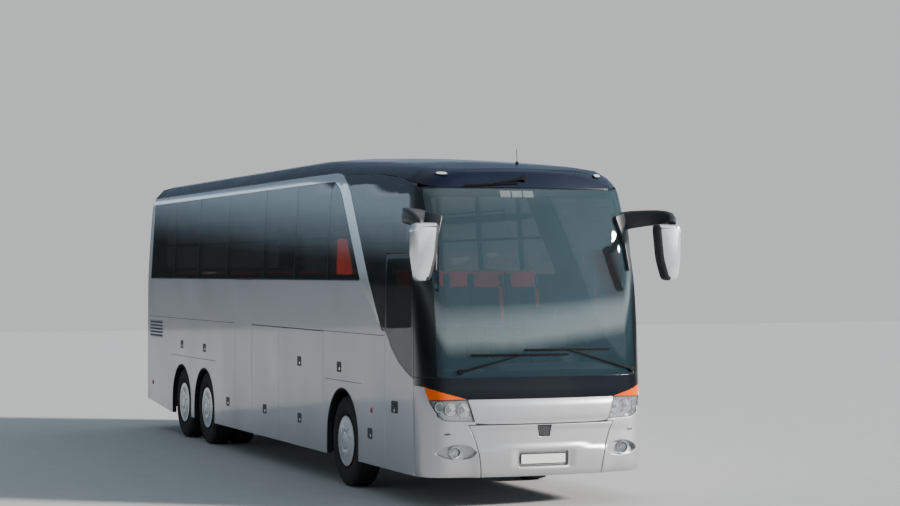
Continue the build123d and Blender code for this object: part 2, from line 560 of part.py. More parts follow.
# Sides
bands = []
for side_name, side in SIDES:
    low_y, high_y = one_side(side)
    region = box(0, BODY_REAR, low_y, high_y, 0, SKY_Z)
    chunk = (lower_wall - nose_block) & region
    panel = chunk
    glass_areas = [side_prism(WINDOW_OUTLINE, low_y, high_y)]
    glass_areas.append(side_prism(QUARTER_OUTLINE if side < 0 else DRIVER_OUTLINE, low_y, high_y))
    band_area = side_prism(BAND_OUTLINE, low_y, high_y)
    glass = (chunk & glass_areas[0]) - middle
    front_glass = (chunk & glass_areas[1]) - middle
    band = (chunk & band_area) - middle
    cutters = []
    cutters.append(side_prism(FIRST_WINDOW, low_y, high_y))
    for front, rear in WINDOWS:
        cutters.append(box(front, rear, low_y, high_y, SILL_Z + FRAME_MARGIN, GLASS_TOP_Z - FRAME_MARGIN))
    cutters.append(side_prism(QUARTER_HOLE if side < 0 else DRIVER_HOLE, low_y, high_y))
    for axle_name, station, steered, twin in AXLES:
        lift = ARCH_LIFT if steered else 0.0
        arch = Pos(sx(station), side * HALF, AXLE_Z + lift) * Rot(90, 0, 0) * Cylinder(ARCH_RADIUS, 800)
        cutters.append(arch)
        cutters.append(box(station - WELL_HALF, station + WELL_HALF, min(0, side * ARCH_INNER_Y),
                           max(0, side * ARCH_INNER_Y), 0, WELL_TOP))
        cutters.append(box(station - ARCH_RADIUS, station + ARCH_RADIUS, low_y, high_y, 0, AXLE_Z + lift))
    leaves = {}
    doors = DOORS_RIGHT if side < 0 else []
    for name, front, rear, top in doors:
        cutters.append(box(front - GAP, rear + GAP, low_y, high_y, 0, top + GAP))
        leaves[name] = (chunk & box(front, rear, low_y, high_y, 0, top))
    flaps = FLAPS_RIGHT if side < 0 else FLAPS_LEFT
    for name, front, rear in flaps:
        cutters.append(box(front - GAP / 2, rear + GAP / 2, low_y, high_y, 0, SEAM_Z))
        leaf = chunk & box(front + GAP / 2, rear - GAP / 2, low_y, high_y, 0, SEAM_Z - GAP)
        save(name, leaf)
    for cutter in cutters:
        panel = panel - cutter
    panel = panel - glass - front_glass - band
    save(f"side_wall_{side_name}", panel)
    save(f"side_glass_{side_name}", glass, front_glass)
    bands.append(band)
    for name, front, rear, top in doors:
        pivot_station, pivot_end = DOOR_PIVOTS[name]
        eye_y = side * DOOR_ARM_Y
        leaf = leaves[name]
        if name == "front_door":
            pane_area = side_prism(DOOR_GLASS, low_y, high_y)
            pane = (leaf & pane_area) - middle
            leaf = leaf - pane - side_prism(DOOR_GLASS_HOLE, low_y, high_y)
            save("front_door_glass", pane)
        low_arm, high_arm = DOOR_ARM_HEIGHTS[name]
        foot, head = COLUMN_FOOT[name], high_arm + COLUMN_END
        arm = Pos(sx(pivot_station), eye_y, (foot + head) / 2) * Cylinder(COLUMN_RADIUS, head - foot)
        for z in (low_arm, high_arm):
            bar = box(pivot_station, pivot_end, eye_y - ARM_HALF, eye_y + ARM_HALF, z - ARM_HALF,
                      z + ARM_HALF)
            eye = Pos(sx(pivot_end), eye_y, z) * Cylinder(EYE_ARM_RADIUS, 2 * ARM_HALF)
            hole = Pos(sx(pivot_end), eye_y, z) * Cylinder(PIN_RADIUS + PIN_CLEARANCE, 4 * ARM_HALF)
            arm = arm + bar + eye - hole
            pin = Pos(sx(pivot_end), eye_y, z) * Cylinder(PIN_RADIUS, 2 * EAR_REACH)
            ears = []
            for sign in (-1, 1):
                ear_z = z + sign * (ARM_HALF + EAR_GAP + EAR_THICK / 2)
                root = side * (HALF - WALL + EAR_SINK)
                ears.append(box(pivot_end - EYE_ARM_RADIUS, pivot_end + EYE_ARM_RADIUS, min(eye_y, root),
                                max(eye_y, root), ear_z - EAR_THICK / 2, ear_z + EAR_THICK / 2))
                ears.append(Pos(sx(pivot_end), eye_y, ear_z) * Cylinder(EYE_ARM_RADIUS, EAR_THICK))
            leaf = leaf + pin + ears[0] + ears[1] + ears[2] + ears[3]
        save(name, leaf)
        save(f"{name}_arm", arm)

save("silver_bands", *bands)

# Nose: bumper, flap, grille, black panel, lamps, windscreen and its frame
lamp_prisms = front_outline(HEADLAMP_OUTLINE)
amber_prisms = front_outline(INDICATOR_OUTLINE)
flap_prism = nose_prism(FLAP_OUTLINE)
flap_hole = nose_prism(FLAP_HOLE_OUTLINE)
grille_prism = nose_prism(GRILLE_OUTLINE)
black_prism = nose_prism(BLACK_OUTLINE)
low_nose = nose_wall & box(-100, FRONT_SEAM, -AROUND, AROUND, 0, WS_BOTTOM)
headlamps = [low_nose & p for p in lamp_prisms]
indicators = [low_nose & p for p in amber_prisms]
grille_panel = low_nose & grille_prism
black_panel = (low_nose & black_prism) - amber_prisms[0] - amber_prisms[1]
bumper = low_nose - flap_hole - grille_prism - black_prism
for prism in lamp_prisms + amber_prisms:
    bumper = bumper - prism
tow_window = nose_prism(TOW_OUTLINE)
flap = (low_nose & flap_prism) - tow_window
plate_pocket = box(-100, PLATE_STATION, -PLATE_WIDTH / 2 - 4, PLATE_WIDTH / 2 + 4,
                   PLATE_Z - PLATE_HEIGHT / 2 - 4, PLATE_Z + PLATE_HEIGHT / 2 + 4)
flap = flap - plate_pocket
for side_name, side in SIDES:
    near, far = sorted((side * FLAP_LUG[0], side * FLAP_LUG[1]))
    flap = flap + box(90, FLAP_HINGE_STATION + 8, near, far, FLAP_HINGE_Z - 8, FLAP_HINGE_Z + 8)
    reach = (FLAP_LUG[0] + FLAP_HANGER[1]) / 2
    flap = flap + Pos(sx(FLAP_HINGE_STATION), side * reach, FLAP_HINGE_Z) * Rot(90, 0, 0) * Cylinder(
        FLAP_PIN, FLAP_HANGER[1] - FLAP_LUG[0])
plate = box(PLATE_STATION - PLATE_THICK, PLATE_STATION, -PLATE_WIDTH / 2, PLATE_WIDTH / 2,
            PLATE_Z - PLATE_HEIGHT / 2, PLATE_Z + PLATE_HEIGHT / 2)
for side_name, side in SIDES:
    fog = Pos(sx(FOG_STATION), side * FOG_Y, FOG_Z) * Rot(0, 90, 0) * Cylinder(FOG_RADIUS, FOG_LENGTH)
    bumper = bumper - fog
save("bumper", bumper)
save("bumper_flap", flap)
save("grille_panel", grille_panel)
save("black_front_panel", black_panel)
save("indicators", *indicators)
fogs = []
for side_name, side in SIDES:
    tube = Cylinder(FOG_RADIUS - SEAT_GAP, FOG_LENGTH)
    fog = Pos(sx(FOG_STATION), side * FOG_Y, FOG_Z) * Rot(0, 90, 0) * tube
    fogs.append((fog & middle) - inner)
save("front_lamps", *headlamps, *fogs)
ws_wall = nose_wall & box(-100, 900, -AROUND, AROUND, WS_BOTTOM, SKY_Z)
ws_area = nose_prism(WS_OUTLINE)
windscreen = (ws_wall & ws_area) - middle
front_frame = ws_wall - windscreen - nose_prism(WS_HOLE)
save("windscreen", windscreen)
save("front_frame", front_frame)

# Wipers lie just off the glass
blade_shell = wiper_top - stand_off
foot_shell = wiper_top - outer
wipers = []
for blade, arm, foot in WIPERS:
    blade_bar = blade_shell & nose_prism(bar_outline(*blade, WIPER_BLADE))
    arm_bar = blade_shell & nose_prism(bar_outline(*arm, WIPER_ARM))
    foot_disc = foot_shell & nose_prism(disc_outline(foot, WIPER_FOOT))
    wipers.append(blade_bar + arm_bar + foot_disc)
save("wipers", *wipers)

# Tail: engine lid, rear glass, tail lamps, rear number plate
lid_hole = box(LENGTH - 500, LENGTH + 100, -LID_HALF, LID_HALF, LID_BOTTOM, LID_TOP)
lid_block = box(LENGTH - 500, LENGTH + 100, -LID_HALF + GAP, LID_HALF - GAP, LID_BOTTOM + GAP, LID_TOP - GAP)
glass_block = box(LENGTH - 500, LENGTH + 100, -REAR_GLASS_HALF, REAR_GLASS_HALF, REAR_GLASS_BOTTOM,
                  REAR_GLASS_TOP)
glass_hole = box(LENGTH - 500, LENGTH + 100, -REAR_GLASS_HALF + FRAME_MARGIN, REAR_GLASS_HALF - FRAME_MARGIN,
                 REAR_GLASS_BOTTOM + FRAME_MARGIN, REAR_GLASS_TOP - FRAME_MARGIN)
rear_glass = (tail_wall & glass_block) - middle
lid = tail_wall & lid_block
for y in BARREL_Y:
    axis_z = LID_TOP - GAP + BARREL_RADIUS - BARREL_SINK
    barrel = Cylinder(BARREL_RADIUS, 2 * BARREL_HALF)
    lid = lid + Pos(sx(LID_HINGE_STATION), y, axis_z) * Rot(90, 0, 0) * barrel
tail_lamps = []
rear = tail_wall - lid_hole - rear_glass - glass_hole
for side_name, side in SIDES:
    y0, y1, z0, z1 = TAIL_LAMP
    lamp_y = sorted((side * y0, side * y1))
    lamp_block = box(LENGTH - 500, LENGTH + 100, *lamp_y, z0, z1)
    lamp = (tail_wall & lamp_block) - middle
    tail_lamps.append(lamp)
    rear = rear - lamp
tow_cut = box(LENGTH - 500, LENGTH + 100, -TOW_HALF, TOW_HALF, REAR_TOW_Z - TOW_HALF, REAR_TOW_Z + TOW_HALF)
rear_plate_cut = box(LENGTH - REAR_PLATE_DEPTH, LENGTH + 100, -PLATE_WIDTH / 2 - 4, PLATE_WIDTH / 2 + 4,
                     REAR_PLATE_Z - PLATE_HEIGHT / 2 - 4, REAR_PLATE_Z + PLATE_HEIGHT / 2 + 4)
rear_plate = box(LENGTH - REAR_PLATE_DEPTH, LENGTH - REAR_PLATE_DEPTH + PLATE_THICK, -PLATE_WIDTH / 2,
                 PLATE_WIDTH / 2, REAR_PLATE_Z - PLATE_HEIGHT / 2, REAR_PLATE_Z + PLATE_HEIGHT / 2)
rear = rear - tow_cut - rear_plate_cut
save("rear_wall", rear)
save("engine_lid", lid)
save("rear_glass", rear_glass)
save("tail_lamps", *tail_lamps)
save("front_number_plate", plate)
save("rear_number_plate", rear_plate)

# Floors, wells, bulkheads and beams inside the shell
inside = envelope(WALL + SEAT_GAP)
deck = box(CAB_REAR, BODY_REAR, -HALF, HALF, DECK_TOP - DECK_THICK, DECK_TOP) & inside
deck = deck - box(MID_DOOR_FRONT, MID_DOOR_REAR, -HALF, -STAIR_INNER, 0, 2000)
ducts = []
duct_reach = HALF - WALL - DUCT_SET_IN
for side_name, side in SIDES:
    near, far = sorted((side * (duct_reach - DUCT_THICK), side * duct_reach))
    for front, rear_end in DUCTS[side_name]:
        ducts.append(box(front, rear_end, near, far, DECK_TOP + SEAT_GAP, DUCT_TOP))
bay = box(BAY_FRONT, BAY_REAR, -FLOOR_HALF, FLOOR_HALF, BAY_TOP - BAY_THICK, BAY_TOP)
under_deck = DECK_TOP - DECK_THICK - SEAT_GAP
for station in (BAY_FRONT, BAY_REAR - BULKHEAD):
    bay = bay + box(station, station + BULKHEAD, -FLOOR_HALF, FLOOR_HALF, BAY_TOP - 1, under_deck)
for station in (MID_DOOR_FRONT - BULKHEAD, MID_DOOR_REAR):
    bay = bay + box(station, station + BULKHEAD, -FLOOR_HALF, -STAIR_INNER, BAY_TOP - 1, under_deck)
bay = bay + box(MID_DOOR_FRONT - BULKHEAD, MID_DOOR_REAR + BULKHEAD, -STAIR_INNER, -STAIR_INNER + BULKHEAD,
                BAY_TOP - 1, under_deck)
save("luggage_bay", bay)
steps = []
for name, front, rear_end, outer_y, inner_y, base, treads in STAIRS:
    depth = (outer_y - inner_y) / len(treads)
    flight = None
    for index, z in enumerate(treads):
        block = box(front, rear_end, -outer_y + index * depth, -inner_y, base if index == 0 else base + 1, z)
        flight = block if flight is None else flight + block
    steps.append(flight)
cab = box(CAB_FRONT, CAB_REAR - SEAT_GAP, -CAB_RIGHT, HALF, CAB_FLOOR - BAY_THICK, CAB_FLOOR) & inside
cab = cab + (box(CAB_REAR - BULKHEAD, CAB_REAR - SEAT_GAP, -HALF, HALF, CAB_FLOOR - 1, DECK_TOP) & inside)
save("floors_and_steps", deck, cab, *steps, *ducts)
beams = None
for side_name, side in SIDES:
    near, far = sorted((side * (BEAM_Y - BEAM_WIDTH / 2), side * (BEAM_Y + BEAM_WIDTH / 2)))
    for front, rear_end in ((BEAM_FRONT, BAY_FRONT - SEAT_GAP), (BAY_REAR + SEAT_GAP, BEAM_REAR)):
        piece = box(front, rear_end, near, far, BEAM_BOTTOM, BEAM_TOP)
        beams = piece if beams is None else beams + piece
for station in CROSS_BEAMS:
    beams = beams + box(station, station + BEAM_WIDTH, -BEAM_Y, BEAM_Y, BEAM_BOTTOM + 1, BEAM_TOP - 1)
for x0, x1, z, hole_from in TOW_BLOCKS:
    block = box(x0, x1, -TOW_BLOCK_HALF, TOW_BLOCK_HALF, BEAM_BOTTOM + 5, z + TOW_BLOCK_HALF)
    block = block - Pos(sx(hole_from), 0, z) * Rot(0, 90, 0) * Cylinder(TOW_RADIUS, 2 * TOW_DEPTH)
    beams = beams + block
for side_name, side in SIDES:
    near, far = sorted((side * FLAP_HANGER[0], side * FLAP_HANGER[1]))
    hanger = box(FLAP_HINGE_STATION - 15, BEAM_FRONT + BEAM_WIDTH, near, far, FLAP_HINGE_Z - 10,
                 BEAM_BOTTOM + 5)
    bore = Pos(sx(FLAP_HINGE_STATION), side * FLAP_HANGER[0], FLAP_HINGE_Z) * Rot(90, 0, 0) * Cylinder(
        FLAP_PIN + PIN_CLEARANCE, 100)
    beams = beams + (hanger - bore)
save("underframe", beams)
wells = []
for side_name, side in SIDES:
    for front, rear_end, wall_y, low_z in WELLS:
        near, far = sorted((side * wall_y, side * (wall_y + WELL_THICK)))
        well = box(front, rear_end, near, far, low_z, under_deck)
        outer_lo, outer_hi = sorted((side * wall_y, side * WELL_OUTER_Y))
        for end in (front, rear_end - WELL_THICK):
            well = well + box(end, end + WELL_THICK, outer_lo, outer_hi, WELL_END_LOW, under_deck)
        wells.append(well)
save("wheel_wells", *wells)
save("engine", box(ENGINE_FRONT, ENGINE_REAR, -ENGINE_HALF, ENGINE_HALF, ENGINE_LOW, ENGINE_TOP))

# Seats, racks and the driver's place
pairs = []
for side_name, side in SIDES:
    for row in range(SEAT_ROWS):
        station = SEAT_FIRST + row * SEAT_PITCH
        if side < 0 and MID_DOOR_FRONT - SEAT_PITCH < station < MID_DOOR_REAR:
            continue
        outline = [(station + behind, DECK_TOP + above) for behind, above in SEAT_OUTLINE]
        near, far = sorted((side * SEAT_INNER, side * SEAT_OUTER))
        pairs.append(side_prism(outline, near, far))
racks = []
for side_name, side in SIDES:
    near, far = sorted((side * RACK_INNER, side * HALF))
    racks.append(box(RACK_FRONT, RACK_REAR, near, far, RACK_Z, RACK_Z + RACK_THICK) & inside)
wheel_tilt = Pos(sx(WHEEL_STATION), DRIVER_Y, WHEEL_Z) * Rot(0, -WHEEL_ANGLE, 0)
column_place = wheel_tilt * Pos(0, 0, -COLUMN_LENGTH / 2)
spoke_width, spoke_thick = STEER_SPOKE
steering = wheel_tilt * Torus(STEER_RADIUS, STEER_RIM)
steering = steering + column_place * Cylinder(COLUMN_TUBE, COLUMN_LENGTH)
steering = steering + wheel_tilt * Box(2 * STEER_RADIUS - 10, spoke_width, spoke_thick)
steering = steering + wheel_tilt * Box(spoke_width, 2 * STEER_RADIUS - 10, spoke_thick)
save("steering_wheel", steering)
dash = box(DASH_FRONT, DASH_REAR, -DASH_RIGHT, HALF, CAB_FLOOR + SEAT_GAP, DASH_TOP) & inside
dash = dash - box(DASH_REAR - DASH_DEPTH + 80, DASH_REAR + 10, -AROUND, AROUND, CAB_FLOOR - 10,
                  DASH_TOP - DASH_KNEE)
dash = dash - column_place * Cylinder(COLUMN_TUBE + SEAT_GAP, COLUMN_LENGTH + 20)
save("dashboard_and_racks", dash, *racks)
save("seats", side_prism(DRIVER_SEAT, DRIVER_Y - DRIVER_HALF, DRIVER_Y + DRIVER_HALF), *pairs)


def drawn_in(outline, margin):
    """A mirror outline made smaller all round by about the margin."""
    (y0, z0), (width, height) = MIRROR_MIDDLE, MIRROR_SIZE
    across, up = 1 - 2 * margin / width, 1 - 2 * margin / height
    return [(y0 + (y - y0) * across, z0 + (z - z0) * up) for y, z in outline]


def mirror_block(outline, side, x0, x1):
    """A front-view outline of a mirror on one side, between two stations."""
    return nose_prism([(side * y, z) for y, z in outline], x0, x1)


# Mirrors
arms = []
housings = []
panes = []
for side_name, side in SIDES:
    view = mirror_block(MIRROR_ARM_VIEW, side, -MIRROR_REACH, FRONT_DOOR_REAR)
    plan = Polyline(*[(sx(station), side * y, MIRROR_ARM_VIEW[0][1] - 50) for station, y in MIRROR_ARM_PLAN],
                    close=True)
    arm = view & extrude(make_face(plan), amount=400, dir=(0, 0, 1))
    house = mirror_block(MIRROR_HOUSE, side, MIRROR_FRONT, MIRROR_BACK)
    house = fillet(house.edges(), MIRROR_ROUND)
    house = house - mirror_block(drawn_in(MIRROR_HOUSE, MIRROR_RIM), side, MIRROR_BACK - MIRROR_RECESS,
                                 MIRROR_BACK + 10)
    pane = mirror_block(drawn_in(MIRROR_HOUSE, MIRROR_RIM + SEAT_GAP), side,
                        MIRROR_BACK - MIRROR_RECESS + SEAT_GAP, MIRROR_BACK - MIRROR_RECESS + MIRROR_GLASS)
    arms.append(arm - outer - house - pane)
    housings.append(house)
    panes.append(pane)
save("mirror_arms", *arms)
save("mirror_housings", *housings)
save("mirror_glasses", *panes)


# Axles, knuckles and wheels
def ring(profile, y, station):
    """A (radius, offset) outline turned about a wheel's axis, its offsets counted outward from y."""
    side = 1 if y > 0 else -1
    outline = make_face(Polyline(*[(r, side * offset, 0) for r, offset in profile], close=True))
    turned = revolve(outline, axis=Axis.Y, revolution_arc=360)
    return Pos(sx(station), y, AXLE_Z) * turned


half_tyre = TYRE_WIDTH / 2
TYRE_PROFILE = [(RIM_RADIUS, -half_tyre + 45), (RIM_RADIUS + 90, -half_tyre),
                (TYRE_RADIUS - 60, -half_tyre + 6), (TYRE_RADIUS, -half_tyre + 40),
                (TYRE_RADIUS, half_tyre - 40), (TYRE_RADIUS - 60, half_tyre - 6),
                (RIM_RADIUS + 90, half_tyre), (RIM_RADIUS, half_tyre - 45)]
BORE = STUB_RADIUS + BEARING_GAP
RIM_OUT = RIM_RADIUS - SEAT_GAP
RIM_IN = RIM_RADIUS - 25
RIM_PROFILE = [(BORE, -10), (BORE + 60, -10), (RIM_IN, 30), (RIM_IN, -half_tyre + 40),
               (RIM_OUT, -half_tyre + 40), (RIM_OUT, half_tyre - 20), (RIM_RADIUS - 20, half_tyre - 8),
               (RIM_RADIUS - 60, half_tyre), (STUB_RADIUS + 40, half_tyre + 10), (0, half_tyre + 12),
               (0, half_tyre - 20), (BORE, half_tyre - 20)]
outer_y = TYRE_OUTER_Y - half_tyre
inner_y = outer_y - TYRE_WIDTH - TWIN_GAP
twin_start = inner_y - half_tyre + 40 - outer_y
TWIN_PROFILE = [(RIM_IN, twin_start), (RIM_OUT, twin_start), (RIM_OUT, 0), (RIM_IN, 0)]
stub_reach = TYRE_OUTER_Y - 25 - STUB_STEP


def cross_bar(radius, length, station, y=0.0):
    """A round bar across the coach at axle height."""
    return Pos(sx(station), y, AXLE_Z) * Rot(90, 0, 0) * Cylinder(radius, length)


axles = []
for axle_name, station, steered, twin in AXLES:
    for side_name, side in SIDES:
        tyres = [ring(TYRE_PROFILE, side * outer_y, station)]
        rims = ring(RIM_PROFILE, side * outer_y, station)
        if twin:
            tyres.append(ring(TYRE_PROFILE, side * inner_y, station))
            rims = rims + ring(TWIN_PROFILE, side * outer_y, station)
        save(f"tyre_{axle_name}_{side_name}", *tyres)
        save(f"rim_{axle_name}_{side_name}", rims)
        if steered:
            king = Pos(sx(station), side * KINGPIN_Y, AXLE_Z)
            fork_y = KINGPIN_Y + EYE_RADIUS + FORK_GAP
            fork = sorted((side * fork_y, side * (fork_y + FORK_THICK)))
            ear = sorted((side * KINGPIN_Y, side * (fork_y + FORK_THICK)))
            front, rear_end = station - FORK_HALF, station + FORK_HALF
            knuckle = box(front, rear_end, *fork, AXLE_Z - FORK_REACH, AXLE_Z + FORK_REACH)
            for sign in (-1, 1):
                ear_z = AXLE_Z + sign * (EYE_HEIGHT / 2 + KING_EAR / 2 + KING_EAR_GAP)
                knuckle = knuckle + box(front, rear_end, *ear, ear_z - KING_EAR / 2, ear_z + KING_EAR / 2)
                knuckle = knuckle + Pos(sx(station), side * KINGPIN_Y, ear_z) * Cylinder(FORK_HALF, KING_EAR)
            knuckle = knuckle - king * Cylinder(KINGPIN_RADIUS + PIN_CLEARANCE, 400)
            stub_from = fork_y + 10
            stub_middle = side * (stub_from + stub_reach) / 2
            knuckle = knuckle + cross_bar(STUB_RADIUS, stub_reach - stub_from, station, stub_middle)
            save(f"knuckle_{side_name}", knuckle)
    if steered:
        front, rear_end = station - BEAM_HALF, station + BEAM_HALF
        axle = box(front, rear_end, -KINGPIN_Y, KINGPIN_Y, AXLE_Z + BEAM_LOW, AXLE_Z + BEAM_HIGH)
        for side_name, side in SIDES:
            king = Pos(sx(station), side * KINGPIN_Y, AXLE_Z)
            clear = sorted((side * (KINGPIN_Y - EYE_RADIUS + 5), side * HALF))
            axle = axle - box(station - 60, station + 60, *clear, AXLE_Z - 400, AXLE_Z - EYE_HEIGHT / 2)
            axle = axle + king * Cylinder(EYE_RADIUS, EYE_HEIGHT)
            axle = axle + king * Cylinder(KINGPIN_RADIUS, 2 * FORK_REACH)
        top = AXLE_Z + BEAM_HIGH
    else:
        axle = cross_bar(STUB_RADIUS, 2 * stub_reach, station)
        axle = axle + cross_bar(AXLE_TUBE, AXLE_TUBE_LENGTH, station)
        if twin:
            axle = axle + cross_bar(DIFF_RADIUS, DIFF_LENGTH, station)
        top = AXLE_Z
    for side_name, side in SIDES:
        height = BEAM_BOTTOM - SEAT_GAP - top
        axle = axle + Pos(sx(station), side * BEAM_Y, top + height / 2) * Cylinder(SPRING_RADIUS, height)
    axles.append(axle)
save("axles", *axles)
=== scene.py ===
"""Looks of a three-axle touring coach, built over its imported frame, in metres.

+X runs forward, +Y to the coach's left and +Z up. A station is a distance behind the front face.
The skin is one smooth body surface. Each outer panel is an outline on it, cut out, given its thickness
and a rolled edge, and it stands for the plain panel of the frame.
"""
import math
import bpy
import bmesh
from mathutils import Matrix, Vector
from mathutils.geometry import delaunay_2d_cdt

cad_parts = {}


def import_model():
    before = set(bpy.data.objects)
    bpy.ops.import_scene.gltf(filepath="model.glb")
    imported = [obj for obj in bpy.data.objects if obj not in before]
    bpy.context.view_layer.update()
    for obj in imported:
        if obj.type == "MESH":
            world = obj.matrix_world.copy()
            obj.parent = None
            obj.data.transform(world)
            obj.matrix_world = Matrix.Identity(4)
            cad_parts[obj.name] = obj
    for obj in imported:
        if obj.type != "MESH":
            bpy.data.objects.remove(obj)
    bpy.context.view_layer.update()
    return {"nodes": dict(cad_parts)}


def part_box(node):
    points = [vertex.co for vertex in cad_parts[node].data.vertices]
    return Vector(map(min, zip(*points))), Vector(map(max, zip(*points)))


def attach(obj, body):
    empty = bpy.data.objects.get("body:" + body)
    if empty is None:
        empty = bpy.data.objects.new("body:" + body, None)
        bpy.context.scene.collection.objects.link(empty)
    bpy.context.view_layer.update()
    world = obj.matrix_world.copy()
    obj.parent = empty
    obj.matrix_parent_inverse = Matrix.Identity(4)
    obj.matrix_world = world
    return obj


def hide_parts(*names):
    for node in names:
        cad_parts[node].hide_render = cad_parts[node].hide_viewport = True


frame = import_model()

# Driving sizes, from the frame
FRONT_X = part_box("grille_panel")[1][0]
LENGTH = FRONT_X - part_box("rear_wall")[0][0]
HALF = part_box("side_wall_left")[1][1]
TOP_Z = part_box("roof")[1][2]
SKIRT_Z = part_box("bumper")[0][2]

# The body's curves
NOSE_RADIUS = 5.0
NOSE_CORNER = 0.25
TAIL_RADIUS = 20.0
TAIL_CORNER = 0.11
ROOF_EDGE_RADIUS = 0.24
BROW_RADIUS = 0.05
TAIL_TOP_RADIUS = 0.10
BROW_CROWN = 13.5
ROOF_CROWN = 7.5
LEAN_Z = 2.32
LEAN_SLOPE = 0.0635
LEAN_EASE = 0.06
RAY_REACH = 1.8
WALL = 0.05
GLASS = 0.01
GAP = 0.008
GLASS_SEAT = 0.013
SEAM_LIFT = 0.0008
# Share of an edge's radius by which the round is drawn in half way
HALF_ROUND = 0.29
# A step so long that nothing is divided
UNDIVIDED = 9.0
# Rake: z, how far the nose and the tail are set back there
RAKE = [(0.20, 0.050, 0.060), (0.62, 0.004, 0.006), (1.00, 0.0, 0.0), (1.37, 0.022, 0.002),
        (2.10, 0.085, 0.016), (2.65, 0.178, 0.036), (3.05, 0.292, 0.062), (3.36, 0.420, 0.095),
        (3.56, 0.545, 0.130), (4.00, 0.900, 0.260)]
# Crest of the roof: station, z
CREST = [(-0.30, 3.39), (0.30, 3.515), (0.545, 3.563), (1.20, 3.66), (2.40, 3.760), (3.70, 3.84),
         (4.70, TOP_Z), (12.60, TOP_Z), (12.80, 3.846), (12.93, 3.75), (13.10, 3.45)]

# Places on the body: stations and heights
FRONT_SEAM = 0.49
DOOR_REAR = 1.39
DOOR_TOP = 2.66
MID_DOOR = (6.70, 7.54, 2.364)
FLAPS = {"right": [("front", 3.60, 5.45), ("rear", 5.45, 6.70)],
         "left": [("front", 3.60, 5.20), ("middle", 5.20, 6.80), ("rear", 6.80, 8.40)]}
SEAM_Z = 1.775
SILL_Z = 2.38
GLASS_TOP_Z = 3.53
BAND_TOP_Z = 3.635
WINDOW_REAR = 12.60
BODY_REAR = 12.70
PILLAR_TOP = (0.70, 3.402)
BAND_TIP = (1.50, 1.825)
BAND_FRONT = [(3.40, BAND_TOP_Z), (3.13, 3.598), (2.93, 3.511), (2.76, 3.387), BAND_TIP]
BAND_REAR = [(1.64, 1.925), (2.247, SILL_Z), (3.055, 3.351), (3.204, 3.461), (3.40, GLASS_TOP_Z)]
ROOF_EDGE = [(1.10, 3.48), (2.00, 3.562), (3.13, 3.598)]
GLASS_SWEEP = [BAND_TIP, (1.18, 1.64), (0.96, 1.505), (0.72, 1.41), (0.49, 1.356)]
DOOR_SWEEP = [(1.34, 1.79), (1.18, 1.642), (0.96, 1.507), (0.72, 1.412), (0.56, 1.36)]
TAIL_RISE = [(11.20, 0.335), (13.07, 0.48)]
PILLAR = 0.08
POSTS = (3.46, 4.80, 6.20, 8.02, 9.64, WINDOW_REAR - 1.48)
WINDOWS = [(post + PILLAR / 2, edge) for post, edge in
           zip(POSTS, [post - PILLAR / 2 for post in POSTS[1:]] + [WINDOW_REAR - 0.06])]
# name, station, lift of the arch
AXLES = [("front", 2.87, 0.042), ("drive", 9.22, 0.0), ("tag", 10.57, 0.0)]
AXLE_Z = 0.522
ARCH_RADIUS = 0.56
SIDES = [("left", 1), ("right", -1)]


def hermite(table, x, column=1):
    """A smooth curve through a table's points."""
    count = len(table)
    k = 0
    while k < count - 2 and x > table[k + 1][0]:
        k += 1

    def secant(i):
        return (table[i + 1][column] - table[i][column]) / (table[i + 1][0] - table[i][0])

    def slope(i):
        before, after = secant(max(i - 1, 0)), secant(min(i, count - 2))
        return 2 * before * after / (before + after) if before * after > 0 else 0.0

    x0, x1 = table[k][0], table[k + 1][0]
    step = x1 - x0
    t = min(max((x - x0) / step, 0.0), 1.0)
    a, b = table[k][column], table[k + 1][column]
    value = (2 * t ** 3 - 3 * t ** 2 + 1) * a + (t ** 3 - 2 * t ** 2 + t) * step * slope(k)
    value += (3 * t ** 2 - 2 * t ** 3) * b + (t ** 3 - t ** 2) * step * slope(k + 1)
    if x > x1:
        value += (x - x1) * slope(k + 1)
    if x < x0:
        value += (x - x0) * slope(k)
    return value


def half_width(z):
    """Half the body's width: upright below the sill, then easing into a straight lean."""
    rise = max(z - LEAN_Z, 0.0)
    return HALF - LEAN_SLOPE * (rise - LEAN_EASE * (1 - math.exp(-rise / LEAN_EASE)))


def fillet_max(a, b, radius):
    """The outside of two surfaces met with a round of that radius."""
    if a > -radius and b > -radius:
        return math.hypot(a + radius, b + radius) - radius
    return max(a, b)


rake_memory = {}


def rake(z):
    """Nose and tail set-back at a height."""
    key = round(z, 5)
    if key not in rake_memory:
        rake_memory[key] = (hermite(RAKE, z, 1), hermite(RAKE, z, 2))
    return rake_memory[key]


def smooth(t):
    """A soft step from nought to one."""
    t = min(max(t, 0.0), 1.0)
    return t * t * (3 - 2 * t)


def outside(s, y, z):
    """How far a point lies outside the body, less than nought inside it."""
    nose, tail = rake(z)
    side = abs(y) - half_width(z)
    ahead = nose + NOSE_RADIUS - math.sqrt(NOSE_RADIUS ** 2 - y * y) - s
    behind = s - (LENGTH - tail) + TAIL_RADIUS - math.sqrt(TAIL_RADIUS ** 2 - y * y)
    around = max(fillet_max(ahead, side, NOSE_CORNER), fillet_max(behind, side, TAIL_CORNER))
    crown = BROW_CROWN + (ROOF_CROWN - BROW_CROWN) * smooth((s - 0.6) / 3.0)
    above = z - hermite(CREST, s) + y * y / (2 * crown)
    end_radius = BROW_RADIUS if ahead > behind else TAIL_TOP_RADIUS
    lead = smooth((max(ahead, behind) - side) / 0.5)
    return fillet_max(around, above, ROOF_EDGE_RADIUS + (end_radius - ROOF_EDGE_RADIUS) * lead)


